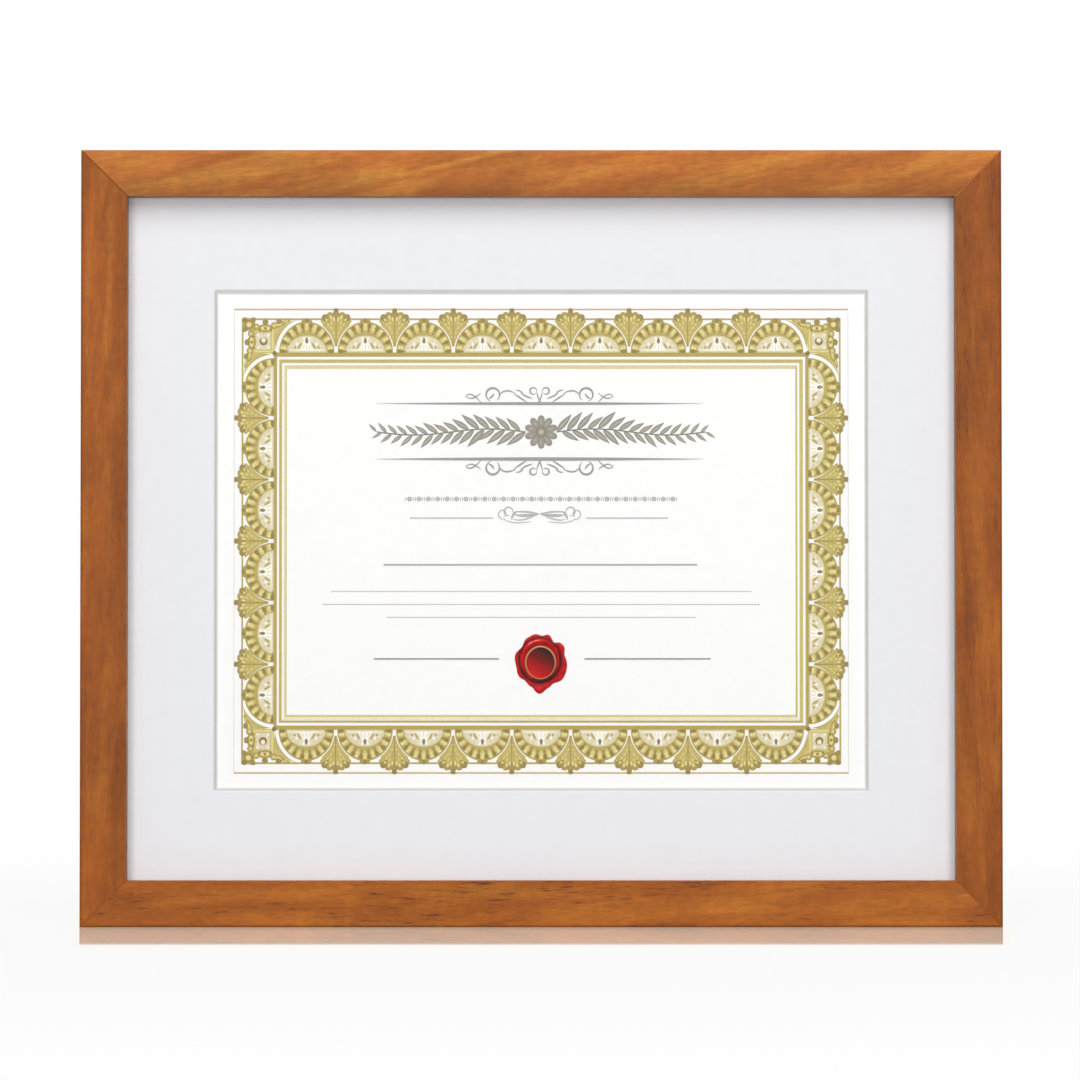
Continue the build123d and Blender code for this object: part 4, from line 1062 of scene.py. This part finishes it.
seal = motif("sealing_wax", seal_mesh())
seal.data.transform(seal_place)
seal.data.materials.append(material)
seal.data.polygons.foreach_set("use_smooth", [True] * len(seal.data.polygons))
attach(seal, "frame")
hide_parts("wax_seal")

# The gilt ring, a thin half-round band pressed into the wax: its profile as offset and height
GILT_STEPS = 96
gilt_profile = ((-0.34, 0.5), (-0.22, 0.78), (0.0, 0.88), (0.22, 0.78), (0.34, 0.5))
gilt = drawing()
tone = gilt.verts.layers.float["tone"]
rows = []
for offset, height in gilt_profile:
    line = []
    for step in range(GILT_STEPS):
        turn = 2 * math.pi * step / GILT_STEPS
        radius = seal_ring(turn) + offset
        point = gilt.verts.new((radius * math.cos(turn) * MM, -height * MM, radius * math.sin(turn) * MM))
        # The ring is painted lighter at its top and darker at its foot: painted light from above
        point[tone] = 0.5 + 0.3 * math.sin(turn)
        line.append(point)
    rows.append(line)
for near, far in zip(rows, rows[1:] + rows[:1]):
    for step in range(GILT_STEPS):
        after = (step + 1) % GILT_STEPS
        gilt.faces.new((near[step], far[step], far[after], near[after]))
gilt_ink = printing_ink("gilt_ring_paint", [(0.0, "#9C6A34"), (0.5, "#C09055"), (1.0, "#DDB27A")], 0.35)
ring = motif("seal_gilt_ring", gilt)
ring.data.transform(seal_place)
ring.data.materials.append(gilt_ink)
ring.data.polygons.foreach_set("use_smooth", [True] * len(ring.data.polygons))
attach(ring, "frame")

# Tapes
# Two strips of gummed linen tape, stuck to the sheet's upper edge and to the mat to hang it. The weave is
# drawn coarser than the real one, at 0.8 mm a thread, so that it shows. A wave texture of scale 1 repeats
# in 0.314 m.
THREAD, WAVE = 0.8, 0.314
material, tree = blank("gummed_linen_tape")
spot = add(tree, "ShaderNodeTexCoord").outputs["Object"]
threads = {"Vector": spot, "Scale": WAVE / (THREAD * MM), "Distortion": 0.6, "Detail": 1}
warp = add(tree, "ShaderNodeTexWave", threads, bands_direction="X").outputs["Fac"]
weft = add(tree, "ShaderNodeTexWave", threads, bands_direction="Z").outputs["Fac"]
weave = add(tree, "ShaderNodeMath", {0: warp, 1: weft}, operation="MAXIMUM").outputs[0]
colour = add(tree, "ShaderNodeValToRGB", {0: weave}, [(0.2, "#CFC6AE"), (0.9, "#EFE9DA")]).outputs[0]
relief = {"Strength": 0.6, "Distance": 0.1 * MM, "Height": weave}
surface = {
    "Base Color": colour,
    "Roughness": 0.9,
    "Normal": add(tree, "ShaderNodeBump", relief).outputs[0],
}
shader = add(tree, "ShaderNodeBsdfPrincipled", surface)
add(tree, "ShaderNodeOutputMaterial", {0: shader.outputs[0]})
coat(material, "hinge_tapes")

# Filler board
# One sheet of corrugated kraft card, cut to the rabbet, that presses the mat and the sheet against the glass.
# Its flutes show through the brown liner as soft stripes.
FLUTE = 6.0
material, tree = blank("corrugated_kraft_card")
spot = add(tree, "ShaderNodeTexCoord").outputs["Object"]
flutes = {"Vector": spot, "Scale": WAVE / (FLUTE * MM), "Distortion": 0.3, "Detail": 1}
flutes = add(tree, "ShaderNodeTexWave", flutes, bands_direction="X").outputs["Fac"]
pulp = {"Vector": spot, "Scale": 1 / (0.9 * MM), "Detail": 4}
pulp = add(tree, "ShaderNodeTexNoise", pulp).outputs["Fac"]
blend = add(tree, "ShaderNodeMath", {0: flutes, 1: 0.25, 2: pulp}, operation="MULTIPLY_ADD").outputs[0]
colour = add(tree, "ShaderNodeValToRGB", {0: blend}, [(0.3, "#A07B4D"), (0.9, "#C39E6C")]).outputs[0]
relief = {"Strength": 0.5, "Distance": 0.2 * MM, "Height": flutes}
surface = {
    "Base Color": colour,
    "Roughness": 0.88,
    "Normal": add(tree, "ShaderNodeBump", relief).outputs[0],
}
shader = add(tree, "ShaderNodeBsdfPrincipled", surface)
add(tree, "ShaderNodeOutputMaterial", {0: shader.outputs[0]})
coat(material, "filler_board")


# Backing board and strut
# Hardboard covered with black leather-grain paper. The cut edges of the strut show the brown fibre of the
# board, and the paper is rubbed grey where hands and desks have touched it.
PEBBLE, RUB, FIBRE = 1.3, 45, 0.7


def covered_board(name, rub):
    """Black embossed paper over hardboard: rub is how far the paper has gone grey, from 0 to 1."""
    material, tree = blank(name)
    place = add(tree, "ShaderNodeTexCoord").outputs
    pebbles = {"Vector": place["Object"], "Scale": 1 / (PEBBLE * MM), "Randomness": 0.9, "Smoothness": 0.4}
    pebbles = add(tree, "ShaderNodeTexVoronoi", pebbles, feature="SMOOTH_F1").outputs["Distance"]
    rubs = {"Vector": place["Object"], "Scale": 1 / (RUB * MM), "Detail": 5, "Roughness": 0.65}
    rubs = add(tree, "ShaderNodeTexNoise", rubs).outputs["Fac"]
    rubs = {"Value": rubs, "From Min": 0.5, "From Max": 0.8, "To Min": 0.0, "To Max": rub}
    rubs = add(tree, "ShaderNodeMapRange", rubs).outputs[0]
    grain = add(tree, "ShaderNodeValToRGB", {0: pebbles}, [(0.1, "#2B2B2D"), (0.7, "#19191B")]).outputs[0]
    colour = {0: rubs, 6: grain, 7: linear("#4A4947")}
    colour = add(tree, "ShaderNodeMix", colour, data_type="RGBA").outputs[2]
    fibre = {"Vector": place["Object"], "Scale": 1 / (FIBRE * MM), "Detail": 4}
    fibre = add(tree, "ShaderNodeTexNoise", fibre).outputs["Fac"]
    fibre = add(tree, "ShaderNodeValToRGB", {0: fibre}, [(0.3, "#4A3324"), (0.7, "#7A5A40")]).outputs[0]
    side = add(tree, "ShaderNodeSeparateXYZ", {0: place["Normal"]}).outputs["Y"]
    side = add(tree, "ShaderNodeMath", {0: side}, operation="ABSOLUTE").outputs[0]
    side = add(tree, "ShaderNodeMapRange", {"Value": side, "From Min": 0.6, "From Max": 0.4}).outputs[0]
    colour = add(tree, "ShaderNodeMix", {0: side, 6: colour, 7: fibre}, data_type="RGBA").outputs[2]
    relief = {"Strength": 0.5, "Distance": 0.15 * MM, "Height": pebbles}
    surface = {
        "Base Color": colour,
        "Roughness": 0.62,
        "Normal": add(tree, "ShaderNodeBump", relief, invert=True).outputs[0],
    }
    shader = add(tree, "ShaderNodeBsdfPrincipled", surface)
    add(tree, "ShaderNodeOutputMaterial", {0: shader.outputs[0]})
    return material


coat(covered_board("black_paper_on_hardboard", 0.35), "backing_board")
coat(covered_board("black_paper_on_strut", 0.6), "easel_strut")

# Easel hinge
# Two leaves of nickel-plated steel, rolled round one pin and riveted to the board and to the strut. The
# moving leaf has a stop tab. The plating is satin, warm grey and a little cloudy from handling.
nickel = plated_metal("satin_nickel_plate", "#B9B4AA", "#D2CEC6", 0.36, 5.0)
coat(nickel, "hinge_base_leaf", "hinge_strut_leaf", "hinge_pin", "base_leaf_rivets", "strut_leaf_rivets")

# Hangers
# Two sawtooth hangers of bent brass-plated strip, one for each way of hanging, nailed to the rails with
# brass-plated brads. The plating is bright yellow with paler clouds where it is thin.
brass = plated_metal("brass_plated_steel", "#B8934A", "#D5B673", 0.28, 3.0)
coat(brass, "sawtooth_hanger_top", "sawtooth_hanger_side", "hanger_brads")


# Bumpers
# Two die-cut discs of grey wool felt, stuck on to keep the lower corners off the wall. The knife left their
# rims a little ragged, and the face stands up in a soft crown.
def felt_disc(felt, middle, radius, thickness, turns=64):
    """Adds one disc that stands back from its middle: its radius and thickness are in metres."""
    profile = ((0.97, 0.0), (0.99, 0.3), (0.98, 0.62), (0.93, 0.84), (0.82, 0.94), (0.55, 0.97), (0.25, 0.99))
    rings = []
    for share, height in profile:
        ring = []
        for step in range(turns):
            turn = 2 * math.pi * step / turns
            across, up = math.cos(turn), math.sin(turn)
            ragged = noise.noise(Vector((6 * across, 6 * up, 40 * middle.x + 2 * height)))
            reach = radius * share * (1 + 0.012 * ragged)
            rise = thickness * height * (1 + 0.01 * ragged)
            ring.append(felt.verts.new(middle + Vector((reach * across, rise, reach * up))))
        rings.append(ring)
    for near, far in zip(rings, rings[1:]):
        for step in range(turns):
            after = (step + 1) % turns
            felt.faces.new((near[step], near[after], far[after], far[step]))
    felt.faces.new(rings[0])
    felt.faces.new(rings[-1])


felt = bmesh.new()
low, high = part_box("wall_bumpers")
bumper_radius = (high.z - low.z) / 2
for side in (-1, 1):
    middle = Vector((side * (high.x - bumper_radius), low.y, (low.z + high.z) / 2))
    felt_disc(felt, middle, bumper_radius, high.y - low.y)
felt_bumpers = motif("felt_bumpers", felt)
felt_bumpers.data.polygons.foreach_set("use_smooth", [True] * len(felt_bumpers.data.polygons))
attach(felt_bumpers, "frame")
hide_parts("wall_bumpers")
material, tree = blank("grey_wool_felt")
spot = add(tree, "ShaderNodeTexCoord").outputs["Object"]
# The wool is drawn coarser than the real one, at 0.8 mm a tuft, so that it shows
hair = {"Vector": spot, "Scale": 1 / (0.8 * MM), "Detail": 5, "Roughness": 0.75, "Distortion": 1.5}
hair = add(tree, "ShaderNodeTexNoise", hair).outputs["Fac"]
colour = add(tree, "ShaderNodeValToRGB", {0: hair}, [(0.3, "#4E4A46"), (0.75, "#84807A")]).outputs[0]
relief = {"Strength": 0.8, "Distance": 0.3 * MM, "Height": hair}
surface = {
    "Base Color": colour,
    "Roughness": 0.95,
    "Sheen Weight": 0.4,
    "Sheen Roughness": 0.5,
    "Normal": add(tree, "ShaderNodeBump", relief).outputs[0],
}
shader = add(tree, "ShaderNodeBsdfPrincipled", surface)
add(tree, "ShaderNodeOutputMaterial", {0: shader.outputs[0]})
felt_bumpers.data.materials.append(material)


# Studio
# A white floor and a white room, with one soft box above the camera, two beside it and one behind the frame.
# A strip of the floor before the frame is polished, and mirrors the foot of the frame at a low angle. There
# the white is also painted cream, a painted reflection of the wood.
FLOOR_HALF = 3.0
ROOM_LIGHT = 0.12
# Where the strip starts and where it is whole, in metres: its front, its back and its sides, which spread
STRIP_FRONT, STRIP_BACK, STRIP_SIDE = (-0.146, -0.128), (0.03, 0.0), (0.199, 0.197)
STRIP_SPREAD = -0.093
POLISH_FRONT, POLISH_BACK = 0.57, 0.715


def seen_rays(tree):
    """The kinds of ray in a tree, and 1 for what the camera sees, also by way of metal or glass."""
    rays = add(tree, "ShaderNodeLightPath").outputs
    seen = rays["Is Camera Ray"]
    for kind in ("Is Glossy Ray", "Is Transmission Ray"):
        seen = add(tree, "ShaderNodeMath", {0: seen, 1: rays[kind]}, operation="MAXIMUM").outputs[0]
    return rays, seen


floor_mesh = bpy.data.meshes.new("studio_floor")
corners = [(side * FLOOR_HALF, level * FLOOR_HALF, 0) for side, level in ((-1, -1), (1, -1), (1, 1), (-1, 1))]
floor_mesh.from_pydata(corners, [], [(0, 1, 2, 3)])
floor = linked("studio_floor", floor_mesh)
material, tree = blank("white_studio_floor")
rays, seen = seen_rays(tree)
spot = add(tree, "ShaderNodeTexCoord").outputs["Object"]
# The floor is pure white from a metre out, and keeps a trace of the shadow near the frame
reach = add(tree, "ShaderNodeVectorMath", {0: spot}, operation="LENGTH").outputs["Value"]
lift = {"Value": reach, "From Min": 0.25, "From Max": 1.0, "To Min": 0.92, "To Max": 1.0}
lift = add(tree, "ShaderNodeMapRange", lift).outputs[0]
lift = add(tree, "ShaderNodeMath", {0: seen, 1: lift}, operation="MULTIPLY").outputs[0]
shade = {0: seen, 6: linear("#BABABA"), 7: linear("#D8D8D8")}
shade = add(tree, "ShaderNodeMix", shade, data_type="RGBA").outputs[2]
matt = add(tree, "ShaderNodeBsdfDiffuse", {"Color": shade}).outputs[0]
place = add(tree, "ShaderNodeSeparateXYZ", {0: spot}).outputs
aside = add(tree, "ShaderNodeMath", {0: place["X"]}, operation="ABSOLUTE").outputs[0]
aside = {0: place["Y"], 1: STRIP_SPREAD, 2: aside}
aside = add(tree, "ShaderNodeMath", aside, operation="MULTIPLY_ADD").outputs[0]
# The polish is whole where the floor is seen at less than about 4 degrees, and gone at 8
grazing = add(tree, "ShaderNodeLayerWeight", {"Blend": 0.5}).outputs["Facing"]
grazing = {"Value": grazing, "From Min": 0.86, "From Max": 0.93, "To Min": 0.0, "To Max": 0.945}
grazing = add(tree, "ShaderNodeMapRange", grazing).outputs[0]
strip = add(tree, "ShaderNodeMath", {0: rays["Is Camera Ray"], 1: grazing}, operation="MULTIPLY").outputs[0]
for value, (start, whole) in ((place["Y"], STRIP_FRONT), (place["Y"], STRIP_BACK), (aside, STRIP_SIDE)):
    step = add(tree, "ShaderNodeMapRange", {"Value": value, "From Min": start, "From Max": whole}).outputs[0]
    strip = add(tree, "ShaderNodeMath", {0: strip, 1: step}, operation="MULTIPLY").outputs[0]
# Where the polish is seen, the white is also painted a warm cream: a painted reflection of the wood
white = {0: strip, 6: linear("#FFFFFF"), 7: linear("#FFF0DB")}
white = add(tree, "ShaderNodeMix", white, data_type="RGBA").outputs[2]
white = add(tree, "ShaderNodeEmission", {"Color": white, "Strength": 1.0}).outputs[0]
surface = add(tree, "ShaderNodeMixShader", {0: lift, 1: matt, 2: white}).outputs[0]
fade = {
    "Value": place["Y"],
    "From Min": STRIP_FRONT[0],
    "From Max": STRIP_BACK[1],
    "To Min": POLISH_FRONT,
    "To Max": POLISH_BACK,
}
fade = add(tree, "ShaderNodeMapRange", fade).outputs[0]
near = add(tree, "ShaderNodeMath", {0: strip, 1: fade}, operation="MULTIPLY").outputs[0]
polish = add(tree, "ShaderNodeBsdfGlossy", {"Color": linear("#FFFFFF"), "Roughness": 0.02}).outputs[0]
surface = add(tree, "ShaderNodeMixShader", {0: near, 1: surface, 2: polish}).outputs[0]
add(tree, "ShaderNodeOutputMaterial", {0: surface})
floor_mesh.materials.append(material)

world = bpy.data.worlds.new("white_studio")
bpy.context.scene.world = world
world.use_nodes = True
tree = world.node_tree
tree.nodes.clear()
rays, seen = seen_rays(tree)
level = add(tree, "ShaderNodeMapRange", {"Value": seen, "To Min": ROOM_LIGHT, "To Max": 1.0}).outputs[0]
room = add(tree, "ShaderNodeBackground", {"Color": linear("#FFFFFF"), "Strength": level}).outputs[0]
add(tree, "ShaderNodeOutputWorld", {0: room})

frame_middle = Vector((0, 0, frame_height / 2 * MM))
soft_boxes = {
    # Name: place, width and height in metres, and power in watts
    "top_soft_box": (Vector((0, -2.7, 2.24)), 2.2, 2.8, 77),
    "left_soft_box": (Vector((-0.62, -1.9, 0.24)), 0.5, 0.5, 6.2),
    "right_soft_box": (Vector((0.62, -1.9, 0.24)), 0.5, 0.5, 6.2),
    "back_soft_box": (Vector((0.7, 1.4, 1.0)), 1.4, 0.9, 12),
}
for name, (place, width, height, power) in soft_boxes.items():
    lamp = bpy.data.lights.new(name, "AREA")
    lamp.shape = "RECTANGLE"
    lamp.size, lamp.size_y = width, height
    lamp.energy = power
    soft_box = linked(name, lamp)
    soft_box.location = place
    soft_box.rotation_euler = (frame_middle - place).to_track_quat("-Z", "Y").to_euler()

# Camera
# A long lens two metres away and a little below the middle of the frame, because the upright edges of the
# photographed frame spread downwards.
CAMERA_DISTANCE, CAMERA_HEIGHT = 2.1, 0.110
FIELD_WIDTH = 0.4566
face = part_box("rail_top")[0].y
aim = Vector((-0.0005, face, 0.1636))
camera_data = bpy.data.cameras.new("camera")
camera_data.sensor_width = 36
camera_data.lens = camera_data.sensor_width * CAMERA_DISTANCE / FIELD_WIDTH
camera = linked("camera", camera_data)
camera.location = (aim.x, face - CAMERA_DISTANCE, CAMERA_HEIGHT)
camera.rotation_euler = (aim - camera.location).to_track_quat("-Z", "Y").to_euler()
bpy.context.scene.camera = camera
bpy.context.scene.view_settings.view_transform = "Standard"
